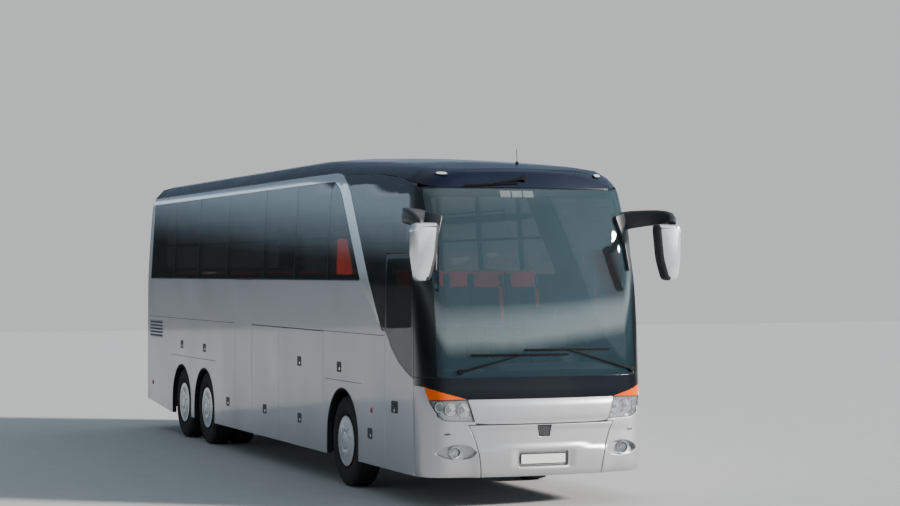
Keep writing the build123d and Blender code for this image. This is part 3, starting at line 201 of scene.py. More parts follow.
def cast(origin, direction):
    """The point where a ray from inside the body leaves it, as (s, y, z), by false position."""
    near, far = 0.0, RAY_REACH
    near_value = outside(*origin)
    far_value = outside(*(o + d * far for o, d in zip(origin, direction)))
    for step in range(40):
        t = far - far_value * (far - near) / (far_value - near_value)
        value = outside(*(o + d * t for o, d in zip(origin, direction)))
        if abs(value) < 1e-6:
            break
        if value > 0:
            far, far_value = t, value
            near_value *= 0.5
        else:
            near, near_value = t, value
            far_value *= 0.5
    return tuple(o + d * t for o, d in zip(origin, direction))


def normal_at(s, y, z):
    """The body's outward normal, in world axes."""
    e = 0.002
    return Vector((outside(s - e, y, z) - outside(s + e, y, z), outside(s, y + e, z) - outside(s, y - e, z),
                   outside(s, y, z + e) - outside(s, y, z - e))).normalized()


def world(point):
    """World place of (s, y, z)."""
    return Vector((FRONT_X - point[0], point[1], point[2]))


class SideChart:
    """Points of one side by (station, z)."""

    def __init__(self, side):
        self.side = side

    def at(self, s, z):
        return cast((s, 0.0, z), (0.0, self.side, 0.0))


class EndChart:
    """Points of the nose or the tail by (length along the outline from the middle, z)."""

    def __init__(self, way, start, radius, corner):
        self.way, self.start, self.radius, self.corner = way, start, radius, corner
        # where the end's bulge turns into the corner arc: y, angle, length along the outline, set-back
        self.inner = HALF - corner
        self.angle = math.asin(self.inner / (radius - corner))
        self.bulge = radius * self.angle
        self.depth = radius - math.sqrt((radius - corner) ** 2 - self.inner ** 2)

    def centre(self, z):
        """Station of the corner arcs' centres at a height."""
        nose, tail = rake(z)
        return nose + self.depth if self.way < 0 else LENGTH - tail - self.depth

    def at(self, u, z):
        sign = 1 if u >= 0 else -1
        if abs(u) <= self.bulge:
            return cast((self.start, self.radius * math.sin(u / self.radius), z), (self.way, 0.0, 0.0))
        angle = self.angle + (abs(u) - self.bulge) / self.corner
        centre = self.centre(z)
        if angle < math.pi / 2:
            return cast((centre, sign * self.inner, z),
                        (self.way * math.cos(angle), sign * math.sin(angle), 0.0))
        return cast((centre - self.way * (angle - math.pi / 2) * self.corner, 0.0, z), (0.0, sign, 0.0))

    def from_y(self, y, z):
        """The chart's place of a point (y, z) seen from that end."""
        size, sign = abs(y), (1 if y >= 0 else -1)
        if size <= self.radius * math.sin(self.angle):
            return sign * self.radius * math.asin(size / self.radius), z
        angle = math.asin(min((size - self.inner) / self.corner, 1.0))
        return sign * (self.bulge + self.corner * (angle - self.angle)), z

    def from_station(self, s, z, sign=1):
        """The chart's place of a side-view point (s, z) on one side."""
        past = (self.centre(z) - s) * self.way
        if past >= 0:
            return sign * (self.bulge + self.corner * (math.pi / 2 - self.angle) + past), z
        angle = math.acos(min(-past / self.corner, 1.0))
        return sign * (self.bulge + self.corner * (angle - self.angle)), z

    def loop(self, points, sign=1):
        """Points (y, z) seen from that end, placed on the chart."""
        return [self.from_y(sign * y, z) for y, z in points]

    def curved(self, points, sign=1):
        """The same, with the edges divided so that they follow the curve."""
        return self.loop(dense(points, 0.1), sign)


class RoofChart:
    """Points of the roof by (station, angle from upright about a line inside the body)."""
    axis_z = 2.9

    def at(self, s, angle):
        return cast((s, 0.0, self.axis_z), (0.0, math.sin(angle), math.cos(angle)))

    def back(self, point):
        """The chart's place of a body point."""
        return point[0], math.atan2(point[1], point[2] - self.axis_z)


LEFT, RIGHT, ROOF = SideChart(1), SideChart(-1), RoofChart()
NOSE = EndChart(-1, 1.2, NOSE_RADIUS, NOSE_CORNER)
TAIL = EndChart(1, 11.8, TAIL_RADIUS, TAIL_CORNER)
SIDE_CHART = {"left": LEFT, "right": RIGHT}


def rect(x0, y0, x1, y1):
    """A loop of four corners."""
    return [(x0, y0), (x1, y0), (x1, y1), (x0, y1)]


def oblong(wide, tall, radius, count=4):
    """A rounded loop about the origin, of that half width and half height."""
    return rounded(rect(-wide, -tall, wide, tall), radius, count)


def arc(centre, radius, start, end, count=16):
    """Points of an arc, angles in degrees."""
    points = []
    for k in range(count + 1):
        angle = math.radians(start + (end - start) * k / count)
        points.append((centre[0] + radius * math.cos(angle), centre[1] + radius * math.sin(angle)))
    return points


def rounded(points, radius, count=5):
    """An outline whose corners are rounded, each by no more than its edges allow."""
    result = []
    total = len(points)
    for k in range(total):
        here = Vector(points[k])
        before, after = Vector(points[k - 1]) - here, Vector(points[(k + 1) % total]) - here
        reach = min(radius, before.length * 0.45, after.length * 0.45)
        turn = before.angle(-after) if before.length and after.length else 0.0
        if turn < 0.15:
            result.append(tuple(here))
            continue
        start, end = here + before.normalized() * reach, here + after.normalized() * reach
        for j in range(count + 1):
            t = j / count
            result.append(tuple(start * (1 - t) ** 2 + here * 2 * t * (1 - t) + end * t ** 2))
    return result


def smooth_line(points, count=6):
    """A curve through an open line of points."""
    result = []
    total = len(points)
    for k in range(total - 1):
        p0, p1 = Vector(points[max(k - 1, 0)]), Vector(points[k])
        p2, p3 = Vector(points[k + 1]), Vector(points[min(k + 2, total - 1)])
        for j in range(count):
            t = j / count
            value = p1 * 2 + (p2 - p0) * t + (p0 * 2 - p1 * 5 + p2 * 4 - p3) * t ** 2
            value += (p1 * 3 - p0 - p2 * 3 + p3) * t ** 3
            result.append(tuple(value / 2))
    result.append(tuple(points[-1]))
    return result


def open_dense(points, step):
    """An open line with long stretches divided."""
    result = []
    for a, b in zip(points, points[1:]):
        parts = max(1, int(math.ceil(math.hypot(b[0] - a[0], b[1] - a[1]) / step)))
        result += [(a[0] + (b[0] - a[0]) * j / parts, a[1] + (b[1] - a[1]) * j / parts) for j in range(parts)]
    return result + [points[-1]]


def dense(loop, step):
    """The loop with long edges divided."""
    return open_dense(loop + loop[:1], step)[:-1]


def thick_line(points, half):
    """A loop about an open line of chart points."""
    left, right = [], []
    for k, here in enumerate(points):
        a, b = points[max(k - 1, 0)], points[min(k + 1, len(points) - 1)]
        length = math.hypot(b[0] - a[0], b[1] - a[1])
        nx, ny = -(b[1] - a[1]) / length * half, (b[0] - a[0]) / length * half
        left.append((here[0] + nx, here[1] + ny))
        right.append((here[0] - nx, here[1] - ny))
    return left + right[::-1]


def area_of(loop):
    """Signed area of a loop."""
    return sum(a[0] * b[1] - b[0] * a[1] for a, b in zip(loop, loop[1:] + loop[:1])) / 2


def cleaned(loop, anticlockwise=True):
    """The loop without repeated points, turned the wanted way round."""
    kept = []
    for point in loop:
        if not kept or math.hypot(point[0] - kept[-1][0], point[1] - kept[-1][1]) > 1e-4:
            kept.append((point[0], point[1]))
    if math.hypot(kept[0][0] - kept[-1][0], kept[0][1] - kept[-1][1]) < 1e-4:
        kept.pop()
    if (area_of(kept) > 0) != anticlockwise:
        kept.reverse()
    return kept


def moved_in(loop, distance):
    """The loop moved to its left by a distance, mitred."""
    result = []
    total = len(loop)
    for k in range(total):
        a, b, c = Vector(loop[k - 1]), Vector(loop[k]), Vector(loop[(k + 1) % total])
        first, second = (b - a).normalized(), (c - b).normalized()
        across = Vector((-first.y - second.y, first.x + second.x))
        if across.length < 1e-6:
            across = Vector((-first.y, first.x))
        across.normalize()
        cosine = max(across.dot(Vector((-first.y, first.x))), 0.5)
        result.append(tuple(b + across * distance / cosine))
    return result


def inside(point, loop):
    """True if a point lies in a loop."""
    x, y = point
    found = False
    for (x0, y0), (x1, y1) in zip(loop, loop[1:] + loop[:1]):
        if (y0 > y) != (y1 > y) and x < (x1 - x0) * (y - y0) / (y1 - y0) + x0:
            found = not found
    return found


def tilted(normal, relief, u, v):
    """A nose panel's normal, turned by the slope of its relief."""
    e = 0.004
    across = Vector((0, 0, 1)).cross(normal).normalized()
    up = normal.cross(across)
    slope_u = (relief(u + e, v) - relief(u - e, v)) / (2 * e)
    slope_v = (relief(u, v + e) - relief(u, v - e)) / (2 * e)
    return (normal - across * slope_u - up * slope_v).normalized()


def inset_loop(loop, distance):
    """A loop of anticlockwise turn, set in by a distance."""
    return moved_in(cleaned(loop), distance)


def mesh_object(name, verts, faces, marks, materials):
    """A smooth mesh object with its materials."""
    mesh = bpy.data.meshes.new(name)
    mesh.from_pydata(verts, [], faces)
    for material in materials:
        mesh.materials.append(material)
    for polygon, mark in zip(mesh.polygons, marks):
        polygon.material_index = mark
        polygon.use_smooth = True
    made = bpy.data.objects.new(name, mesh)
    bpy.context.scene.collection.objects.link(made)
    return made


class Piece:
    """Collects vertices, faces and a material number for every face."""

    def __init__(self):
        self.verts, self.faces, self.normals, self.marks = [], [], [], []

    def dress(self, name, materials, body, slot, *nodes, sharp=35.0):
        """Makes the object, puts it on its body and lets it stand for frame nodes; the slot that names its
        finish is not used.
        """
        made = mesh_object(name, self.verts, self.faces, self.marks, materials)
        self.shade(made.data, sharp)
        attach(made, body)
        if nodes:
            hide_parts(*nodes)
        return made


class Shape(Piece):
    """A piece made of sheets on the body, with a normal for every face corner."""

    def add(self, points):
        start = len(self.verts)
        self.verts += [tuple(p) for p in points]
        return start

    def face(self, corners, normals, mark=0):
        kept = [(c, n) for k, (c, n) in enumerate(zip(corners, normals)) if c != corners[k - 1]]
        if len(kept) > 2:
            self.faces.append([c for c, n in kept])
            self.normals += [tuple(n) for c, n in kept]
            self.marks.append(mark)

    def panel(self, chart, outline, holes=(), out=0.0, thick=WALL, edge=0.004, step=0.15, mark=0,
              back_mark=None, rim_step=0.06, relief=None):
        """A closed sheet on the body; outline and holes are loops of chart points, relief(u, v) a height."""
        back_mark = mark if back_mark is None else back_mark
        loops = [dense(cleaned(outline), rim_step)]
        loops += [dense(cleaned(hole, False), rim_step) for hole in holes]
        drawn_in = edge * HALF_ROUND
        rims = [[loop, moved_in(loop, drawn_in), moved_in(loop, edge)] for loop in loops]
        flat = [rim[2] for rim in rims]
        points = [p for loop in flat for p in loop]
        bounds, first = [], 0
        for loop in flat:
            bounds += [(first + k, first + (k + 1) % len(loop)) for k in range(len(loop))]
            first += len(loop)
        low = [min(p[i] for p in flat[0]) for i in (0, 1)]
        high = [max(p[i] for p in flat[0]) for i in (0, 1)]
        clear = [moved_in(loop, step * 0.35) for loop in flat]
        counts = [max(1, int((high[i] - low[i]) / step)) for i in (0, 1)]
        for i in range(1, counts[0]):
            for j in range(1, counts[1]):
                point = (low[0] + (high[0] - low[0]) * i / counts[0],
                         low[1] + (high[1] - low[1]) * j / counts[1])
                if inside(point, clear[0]) and inside(point, flat[0]):
                    if not any(inside(point, hole) for hole in clear[1:] + flat[1:]):
                        points.append(point)
        flat_points = [Vector(p) for p in points]
        made, _, triangles, origins, _, _ = delaunay_2d_cdt(flat_points, bounds, [], 0, 1e-5)
        place = {}
        for new, olds in enumerate(origins):
            for old in olds:
                place[old] = new
        kept = []
        for triangle in triangles:
            middle = sum((made[v] for v in triangle), Vector((0, 0))) / 3
            if inside(middle, flat[0]) and not any(inside(middle, hole) for hole in flat[1:]):
                kept.append(triangle)
        spots = [chart.at(*p) for p in made]
        normals = [normal_at(*p) for p in spots]
        lifts = [relief(*p) if relief else 0.0 for p in made]
        front = self.add(world(p) + n * (out + lift) for p, n, lift in zip(spots, normals, lifts))
        rear = self.add(world(p) + n * (out - thick) for p, n in zip(spots, normals))
        if relief:
            normals = [tilted(n, relief, *p) for n, p in zip(normals, made)]
        a, b, c = (spots[v] for v in kept[0])
        turn = (world(b) - world(a)).cross(world(c) - world(a)).dot(normals[kept[0][0]]) > 0
        for triangle in kept:
            order = list(triangle) if turn else list(reversed(triangle))
            self.face([front + v for v in order], [normals[v] for v in order], mark)
            order.reverse()
            self.face([rear + v for v in order], [-normals[v] for v in order], back_mark)
        first = 0
        for rim in rims:
            count = len(rim[0])
            ids = [place[first + k] for k in range(count)]
            first += count
            edge_spots = [chart.at(*p) for p in rim[0]]
            edge_normals = [normal_at(*p) for p in edge_spots]
            half_spots = [chart.at(*p) for p in rim[1]]
            away = []
            for k in range(count):
                along = world(edge_spots[(k + 1) % count]) - world(edge_spots[k - 1])
                outward = along.cross(edge_normals[k]) if turn else edge_normals[k].cross(along)
                away.append(outward.normalized())
            raised = [relief(*p) if relief else 0.0 for p in rim[0]]
            ring_mid = self.add(world(p) + n * (out + h - drawn_in)
                                for p, n, h in zip(half_spots, edge_normals, raised))
            ring_low = self.add(world(p) + n * (out + h - edge)
                                for p, n, h in zip(edge_spots, edge_normals, raised))
            ring_base = self.add(world(p) + n * (out - thick) for p, n in zip(edge_spots, edge_normals))
            slanted = [(n + a).normalized() for n, a in zip(edge_normals, away)]
            for k in range(count):
                j = (k + 1) % count
                top, mid = [front + ids[k], front + ids[j]], [ring_mid + k, ring_mid + j]
                low_pair, base = [ring_low + k, ring_low + j], [ring_base + k, ring_base + j]
                strips = [(top, mid, edge_normals, slanted), (mid, low_pair, slanted, away),
                          (low_pair, base, away, away)]
                for upper, lower, top_n, low_n in strips:
                    corners = [upper[0], lower[0], lower[1], upper[1]]
                    turned = [top_n[k], low_n[k], low_n[j], top_n[j]]
                    if not turn:
                        corners.reverse()
                        turned.reverse()
                    self.face(corners, turned, mark)
                corners = [ring_base + k, rear + ids[k], rear + ids[j], ring_base + j]
                if not turn:
                    corners.reverse()
                self.face(corners, [-edge_normals[k]] * 4, back_mark)
        return self

    def strip(self, chart, points, half, lift=SEAM_LIFT, thick=0.002, edge=0.0004, mark=0, step=0.12):
        """A narrow strip along a line of chart points."""
        return self.panel(chart, thick_line(open_dense(points, step), half), out=lift, thick=thick, edge=edge,
                          step=UNDIVIDED, mark=mark, rim_step=UNDIVIDED)

    def shade(self, mesh, sharp):
        """Gives the mesh the body's own normals."""
        mesh.normals_split_custom_set(self.normals)


class Solid(Piece):
    """A piece made of closed bodies, each a skin through rings of world points."""

    def loft(self, rings, mark=0, closed=False):
        """A skin through rings of equal length, capped at both ends unless it closes on itself."""
        count, first, total = len(rings[0]), len(self.verts), len(rings)
        for ring in rings:
            self.verts += [tuple(point) for point in ring]
        for k in range(total if closed else total - 1):
            here, after = first + k * count, first + (k + 1) % total * count
            for j in range(count):
                i = (j + 1) % count
                self.faces.append([here + j, here + i, after + i, after + j])
                self.marks.append(mark)
        if not closed:
            last = first + (total - 1) * count
            self.faces.append([first + j for j in range(count)][::-1])
            self.faces.append([last + j for j in range(count)])
            self.marks += [mark, mark]
        return self

    def tube(self, path, radius, count=10, mark=0):
        """A round bar along a path, with softened ends."""
        path = [Vector(point) for point in path]
        rings = []
        side = Vector((0, 0, 1))
        for k, here in enumerate(path):
            along = (path[min(k + 1, len(path) - 1)] - path[max(k - 1, 0)]).normalized()
            if abs(along.dot(side)) > 0.95:
                side = Vector((1, 0, 0)) if abs(along.x) < 0.9 else Vector((0, 1, 0))
            across = along.cross(side).normalized()
            up = across.cross(along)
            side = up
            ring = [across * math.cos(2 * math.pi * j / count) + up * math.sin(2 * math.pi * j / count)
                    for j in range(count)]
            if k == 0:
                rings.append([here - along * radius * 0.3 + v * radius * 0.6 for v in ring])
            rings.append([here + v * radius for v in ring])
            if k == len(path) - 1:
                rings.append([here + along * radius * 0.3 + v * radius * 0.6 for v in ring])
        return self.loft(rings, mark)

    def turned(self, centre, axis, profile, count=48, mark=0, notch=None):
        """A closed (radius, offset) outline turned about an axis; notch says how far a point is lowered."""
        centre, axis = Vector(centre), Vector(axis).normalized()
        across = axis.orthogonal().normalized()
        up = axis.cross(across)
        rings = []
        for j in range(count):
            angle = 2 * math.pi * j / count
            out = across * math.cos(angle) + up * math.sin(angle)
            ring = []
            for radius, offset in profile:
                lowered = notch(j, radius, offset) if notch else 0.0
                ring.append(centre + axis * offset + out * (radius - lowered))
            rings.append(ring)
        return self.loft(rings, mark, closed=True)

    def plate(self, origin, across, up, outline, thick, edge=0.002, mark=0):
        """A flat outline in the plane of two directions, thickened along their cross product."""
        origin, across, up = Vector(origin), Vector(across).normalized(), Vector(up).normalized()
        normal = across.cross(up)
        loop = cleaned(outline)
        small = moved_in(loop, edge)
        rings = []
        for ring, depth in ((small, 0.0), (loop, edge), (loop, thick - edge), (small, thick)):
            rings.append([origin + across * a + up * b + normal * depth for a, b in ring])
        return self.loft(rings, mark)

    def slices(self, outline, steps, place, mark=0):
        """A skin through an outline, set in at each step; place(a, b, step) gives its points."""
        rings = [[world(place(a, b, at)) for a, b in inset_loop(outline, inset)] for at, inset in steps]
        return self.loft(rings, mark)

    def block(self, stations, ys, zs, edge=0.004, mark=0, corner=0.01):
        """An upright box between two stations, two y and two z, with rounded edges."""
        (front, rear), (y0, y1), (z0, z1) = stations, ys, zs
        outline = oblong((rear - front) / 2, (y1 - y0) / 2, corner, 3)
        middle = world(((front + rear) / 2, (y0 + y1) / 2, z0))
        return self.plate(middle, (1, 0, 0), (0, 1, 0), outline, z1 - z0, edge, mark)

    def shade(self, mesh, sharp):
        """Turns the faces outward and keeps edges sharp beyond an angle."""
        work = bmesh.new()
        work.from_mesh(mesh)
        bmesh.ops.recalc_face_normals(work, faces=work.faces)
        work.to_mesh(mesh)
        work.free()
        mesh.set_sharp_from_angle(angle=math.radians(sharp))


# Materials
class Graph:
    """The nodes of a material or a world."""

    def __init__(self, owner):
        owner.use_nodes = True
        self.owner, self.nodes, self.links = owner, owner.node_tree.nodes, owner.node_tree.links

    def set(self, node, values):
        """Sets a node's inputs; another node's output is joined to them."""
        for key, value in values.items():
            if isinstance(value, bpy.types.NodeSocket):
                self.links.new(value, node.inputs[key])
            else:
                node.inputs[key].default_value = value

    def add(self, kind, values, **traits):
        """A new node with its traits and inputs."""
        made = self.nodes.new("ShaderNode" + kind)
        for trait, value in traits.items():
            setattr(made, trait, value)
        self.set(made, values)
        return made

    def place(self):
        """Places in the object's own space."""
        return self.add("TexCoord", {}).outputs["Object"]

    def noise(self, scale, detail):
        """A noise value."""
        values = {"Vector": self.place(), "Scale": scale, "Detail": detail}
        return self.add("TexNoise", values).outputs["Fac"]

    def waves(self, scale, direction="X"):
        """A value that runs in waves."""
        values = {"Vector": self.place(), "Scale": scale}
        return self.add("TexWave", values, bands_direction=direction).outputs["Fac"]

    def multiply(self, a, b):
        """The product of two values."""
        return self.add("Math", {0: a, 1: b}, operation="MULTIPLY").outputs["Value"]

    def stretch(self, value, low, high, values=None):
        """A value mapped from low..high to 0..1 or to the given ends."""
        values = {"From Min": low, "From Max": high, "Value": value, **(values or {})}
        return self.add("MapRange", values).outputs["Result"]

    def mix(self, factor, a, b):
        """A mix of two colours."""
        return self.add("Mix", {"Factor": factor, "A": a, "B": b}, data_type="RGBA").outputs["Result"]

    def ramp(self, source, stops):
        """A colour ramp over a value, stops as (place, colour)."""
        made = self.add("ValToRGB", {"Fac": source})
        elements = made.color_ramp.elements
        while len(elements) < len(stops):
            elements.new(0.5)
        for element, (place, colour) in zip(elements, stops):
            element.position = place
            element.color = (*colour, 1.0)
        return made.outputs["Color"]

    def tones(self, source, colour, low, high, start=0.3, end=0.7):
        """A ramp between a darker and a lighter tone of a colour."""
        darker, lighter = (tuple(min(1.0, c * factor) for c in colour) for factor in (low, high))
        return self.ramp(source, [(start, darker), (end, lighter)])


class Finish(Graph):
    """A new material, with its shader's inputs set."""

    def __init__(self, name, values):
        super().__init__(bpy.data.materials.new(name))
        self.shader = self.nodes["Principled BSDF"]
        self.set(self.shader, values)

    def rough(self, source, roughness, low, high):
        """A roughness that varies a little."""
        self.set(self.shader, {"Roughness": self.tones(source, (roughness,) * 3, low, high)})

    def bump(self, source, strength, distance):
        """Bump from a value."""
        made = self.add("Bump", {"Strength": strength, "Distance": distance, "Height": source})
        self.set(self.shader, {"Normal": made.outputs["Normal"]})

    def glow(self, colour, strength):
        """A faint light of its own, which stands for daylight through the other windows."""
        if strength:
            self.set(self.shader, {"Emission Color": (*colour, 1.0), "Emission Strength": strength})


ROAD_FILM = (0.30, 0.27, 0.23, 1.0)
FILM_FROM, FILM_TO = 1.15, 0.3


def paint(name, colour, metallic, roughness, coat, dirty=0.5, gloss=0.5):
    """Vehicle paint: fine flake, slow unevenness and road film towards the skirt."""
    made = Finish(name, {"Metallic": metallic, "Specular IOR Level": gloss, "Coat Weight": coat,
                         "Coat Roughness": 0.06})
    slow = made.noise(1.3, 4.0)
    tone = made.tones(made.noise(900.0, 1.0), colour, 0.93, 1.05, 0.35, 0.65)
    split = made.add("SeparateXYZ", {"Vector": made.add("NewGeometry", {}).outputs["Position"]})
    film = made.multiply(made.multiply(made.stretch(split.outputs["Z"], FILM_FROM, FILM_TO), slow), dirty)
    made.set(made.shader, {"Base Color": made.mix(film, tone, ROAD_FILM)})
    made.rough(slow, roughness, 0.85, 1.2)
    return made.owner


def plastic(name, colour, roughness, grain=400.0, strength=0.15, metallic=0.0, spread=0.12, gloss=0.5):
    """Moulded plastic, rubber or coated metal: grain, and a slow change of tone."""
    made = Finish(name, {"Metallic": metallic, "Specular IOR Level": gloss})
    fine = made.noise(grain, 2.0)
    made.set(made.shader, {"Base Color": made.tones(made.noise(3.0, 4.0), colour, 1 - spread, 1 + spread)})
    made.rough(fine, roughness, 0.9, 1.1)
    made.bump(fine, strength, 0.001)
    return made.owner


def pane(name, colour, alpha, ior=1.8):
    """Tinted window glass that mirrors its surroundings, with a faint unevenness."""
    made = Finish(name, {"Roughness": 0.015, "IOR": ior, "Alpha": alpha})
    wave = made.noise(1.6, 1.0)
    made.set(made.shader, {"Base Color": made.tones(wave, colour, 0.9, 1.1)})
    made.bump(wave, 0.25, 0.004)
    made.owner.surface_render_method = "BLENDED"
    return made.owner


def lens(name, colour, alpha, glow=0.0):
    """Ribbed lamp lens."""
    made = Finish(name, {"Roughness": 0.08, "Alpha": alpha, "Coat Weight": 0.3})
    ribs = made.waves(40.0)
    made.set(made.shader, {"Base Color": made.tones(ribs, colour, 0.85, 1.1, 0.2, 0.8)})
    made.bump(ribs, 0.2, 0.002)
    made.glow(colour, glow)
    made.owner.surface_render_method = "BLENDED"
    return made.owner


def fabric(name, colour, scale=260.0, spread=0.2, glow=0.0):
    """Woven cloth: crossed threads in bump, faint wear in tone, a soft sheen and, where given, a painted glow
    that stands for daylight.
    """
    made = Finish(name, {"Roughness": 0.9, "Sheen Weight": 0.15})
    weave = made.multiply(made.waves(scale), made.waves(scale, "Z"))
    made.set(made.shader, {"Base Color": made.tones(made.noise(7.0, 4.0), colour, 1 - spread, 1 + spread)})
    made.bump(weave, 0.12, 0.0003)
    made.glow(colour, glow)
    return made.owner


SILVER = paint("silver_paint", (0.53, 0.53, 0.555), 0.72, 0.36, 0.7)
BRIGHT = paint("bright_silver_paint", (0.86, 0.87, 0.89), 0.8, 0.22, 0.8, dirty=0.0)
ROOF_PAINT = paint("roof_paint", (0.005, 0.008, 0.022), 0.0, 0.28, 0.12, dirty=0.0, gloss=0.3)
GLOSS_BLACK = paint("gloss_black_paint", (0.004, 0.005, 0.008), 0.0, 0.16, 0.25, dirty=0.0)
BLACK_PLASTIC = plastic("black_plastic", (0.022, 0.023, 0.025), 0.5)
ARM_GREY = plastic("mirror_arm_coating", (0.030, 0.032, 0.036), 0.38)
WIPER_BLACK = plastic("wiper_coating", (0.004, 0.004, 0.005), 0.6, gloss=0.12)
DARK_CHROME = plastic("dark_chrome", (0.12, 0.13, 0.15), 0.22, grain=20.0, strength=0.05, metallic=0.9,
                      spread=0.3)
SLAT_BLUE = plastic("slat_blue", (0.012, 0.020, 0.075), 0.6)
LAMP_CHROME = plastic("lamp_chrome", (0.42, 0.44, 0.47), 0.2, grain=20.0, strength=0.04, metallic=1.0,
                      spread=0.25)
MARKER_LENS = lens("marker_lens", (0.80, 0.80, 0.76), 0.95)
RUBBER = plastic("rubber_seal", (0.012, 0.012, 0.013), 0.65, grain=250.0)
SIDE_GLASS = pane("dark_side_glass", (0.008, 0.015, 0.022), 0.70, ior=2.4)
DOOR_PANE = pane("door_glass", (0.006, 0.016, 0.015), 0.76, ior=1.6)
FRONT_GLASS = pane("teal_front_glass", (0.012, 0.040, 0.050), 0.40, ior=2.9)
INTERIOR = plastic("interior_panels", (0.075, 0.078, 0.082), 0.7)
FLOOR_GREY = plastic("floor_lino", (0.14, 0.14, 0.145), 0.6, grain=120.0)
CHASSIS = plastic("chassis_coating", (0.045, 0.045, 0.048), 0.6, grain=80.0, strength=0.4)
LAMP_CLEAR = lens("clear_lens", (0.85, 0.90, 0.93), 0.10)
LAMP_AMBER = lens("amber_lens", (0.80, 0.115, 0.004), 0.97, glow=0.05)
LAMP_RED = lens("red_lens", (0.5, 0.01, 0.01), 0.92)
TYRE_RUBBER = plastic("tyre_rubber", (0.017, 0.0165, 0.016), 0.85, grain=180.0, strength=0.3, spread=0.3)
COVER_SILVER = paint("wheel_cover_paint", (0.72, 0.73, 0.74), 0.7, 0.3, 0.5, dirty=0.25)
REFLECTOR = plastic("lamp_reflector", (0.82, 0.83, 0.85), 0.12, grain=30.0, strength=0.02, metallic=1.0,
                    spread=0.04)
MIRROR_GLASS = plastic("mirror_glass", (0.72, 0.75, 0.77), 0.03, grain=4.0, strength=0.01, metallic=1.0,
                       spread=0.02)
PLATE_WHITE = plastic("plate_enamel", (0.72, 0.72, 0.69), 0.35, grain=60.0, strength=0.05, spread=0.04)
CARD_WHITE = plastic("card", (0.75, 0.76, 0.74), 0.6, grain=90.0, strength=0.05, spread=0.04)
# The headrests, the belts and the curtain glow: painted light that stands for daylight through the other
# windows.
HEADREST_WHITE = fabric("headrest_cloth", (0.80, 0.80, 0.78), glow=0.35)
SEAT_BLUE = fabric("seat_cloth", (0.035, 0.045, 0.075))
SEAT_RED = fabric("headrest_leather", (0.42, 0.022, 0.026), 120.0, glow=0.30)
PIPING = fabric("seat_piping", (0.45, 0.42, 0.38), 400.0)
CURTAIN_ORANGE = fabric("curtain_cloth", (0.92, 0.11, 0.05), 180.0, 0.2, glow=1.1)
DASH_GREY = plastic("dashboard_skin", (0.05, 0.052, 0.055), 0.7, grain=300.0, strength=0.3)
BELT_RED = fabric("belt_webbing", (0.42, 0.025, 0.025), 500.0, glow=0.30)


def bottom_of(s):
    """Lower edge of the body at a station."""
    (s0, z0), (s1, z1) = TAIL_RISE
    return z0 if s < s0 else z0 + (z1 - z0) * (s - s0) / (s1 - s0)


def arch(station, lift, radius=ARCH_RADIUS, count=22, foot=SKIRT_Z):
    """Bottom edge points over one wheel arch, front to rear."""
    curve = [(2 * station - s, z) for s, z in arc((station, AXLE_Z + lift), radius, 0, 180, count)]
    return [(station - radius, foot)] + curve + [(station + radius, foot)]


def level(z, ys):
    """Points at one height."""
    return [(y, z) for y in ys]


def lower_side(side):
    """Outline of the fixed lower side: from the front seam along the skirt to the tail and back."""
    front = DOOR_REAR + GAP if side < 0 else FRONT_SEAM
    flaps = FLAPS["right" if side < 0 else "left"]
    points = [(front, SKIRT_Z)] + arch(*AXLES[0][1:])
    points += [(flaps[0][1] - GAP / 2, SKIRT_Z), (flaps[0][1] - GAP / 2, SEAM_Z)]
    if side < 0:
        points += [(MID_DOOR[0], SEAM_Z), (MID_DOOR[0], MID_DOOR[2] + GAP), (MID_DOOR[1], MID_DOOR[2] + GAP),
                   (MID_DOOR[1], SKIRT_Z)]
    else:
        points += [(flaps[-1][2] + GAP / 2, SEAM_Z), (flaps[-1][2] + GAP / 2, SKIRT_Z)]
    points += arch(*AXLES[1][1:]) + arch(*AXLES[2][1:])
    points += [TAIL_RISE[0], (BODY_REAR, bottom_of(BODY_REAR))]
    points += [(BODY_REAR, GLASS_TOP_Z), (WINDOW_REAR, GLASS_TOP_Z), (WINDOW_REAR, SILL_Z)]
    points += [BAND_REAR[1], BAND_REAR[0]]
    points += [(DOOR_REAR + GAP, BAND_TIP[1])] if side < 0 else smooth_line(GLASS_SWEEP, 4)
    return points


WINDOW_OUTLINE = [(WINDOW_REAR, SILL_Z), (WINDOW_REAR, GLASS_TOP_Z)] + BAND_REAR[:0:-1]
BAND_OUTLINE = smooth_line(BAND_FRONT[:4]) + [BAND_FRONT[4]] + BAND_REAR[:2] + smooth_line(BAND_REAR[2:]) \
    + [(BODY_REAR, GLASS_TOP_Z), (BODY_REAR, BAND_TOP_Z)]
FRONT_TOP = [PILLAR_TOP] + ROOF_EDGE + BAND_FRONT[2:4]
BEHIND_DOOR = [(DOOR_REAR + GAP, BAND_TIP[1]), (DOOR_REAR + GAP, DOOR_TOP + GAP),
               (FRONT_SEAM, DOOR_TOP + GAP)]
ALONG_SWEEP = smooth_line(GLASS_SWEEP, 4) + [(FRONT_SEAM, DOOR_TOP + GAP)]
HOLE_TOP = [(2.52, 3.38), (2.44, 3.47), (2.00, 3.49), (1.10, 3.408), (0.78, 3.34)]
QUARTER_HOLE = [(0.61, 2.74), (2.01, 2.74)] + HOLE_TOP
DRIVER_HOLE = [(0.556, 1.46), (0.90, 1.59), (1.15, 1.74), (1.38, 1.96)] + HOLE_TOP + [(0.556, 2.74)]
FRAME_MARGIN = 0.06
BACKING = {"out": -GLASS_SEAT, "thick": WALL - GLASS_SEAT, "back_mark": 1}
SHEET = {"thick": GLASS, "edge": 0.002}


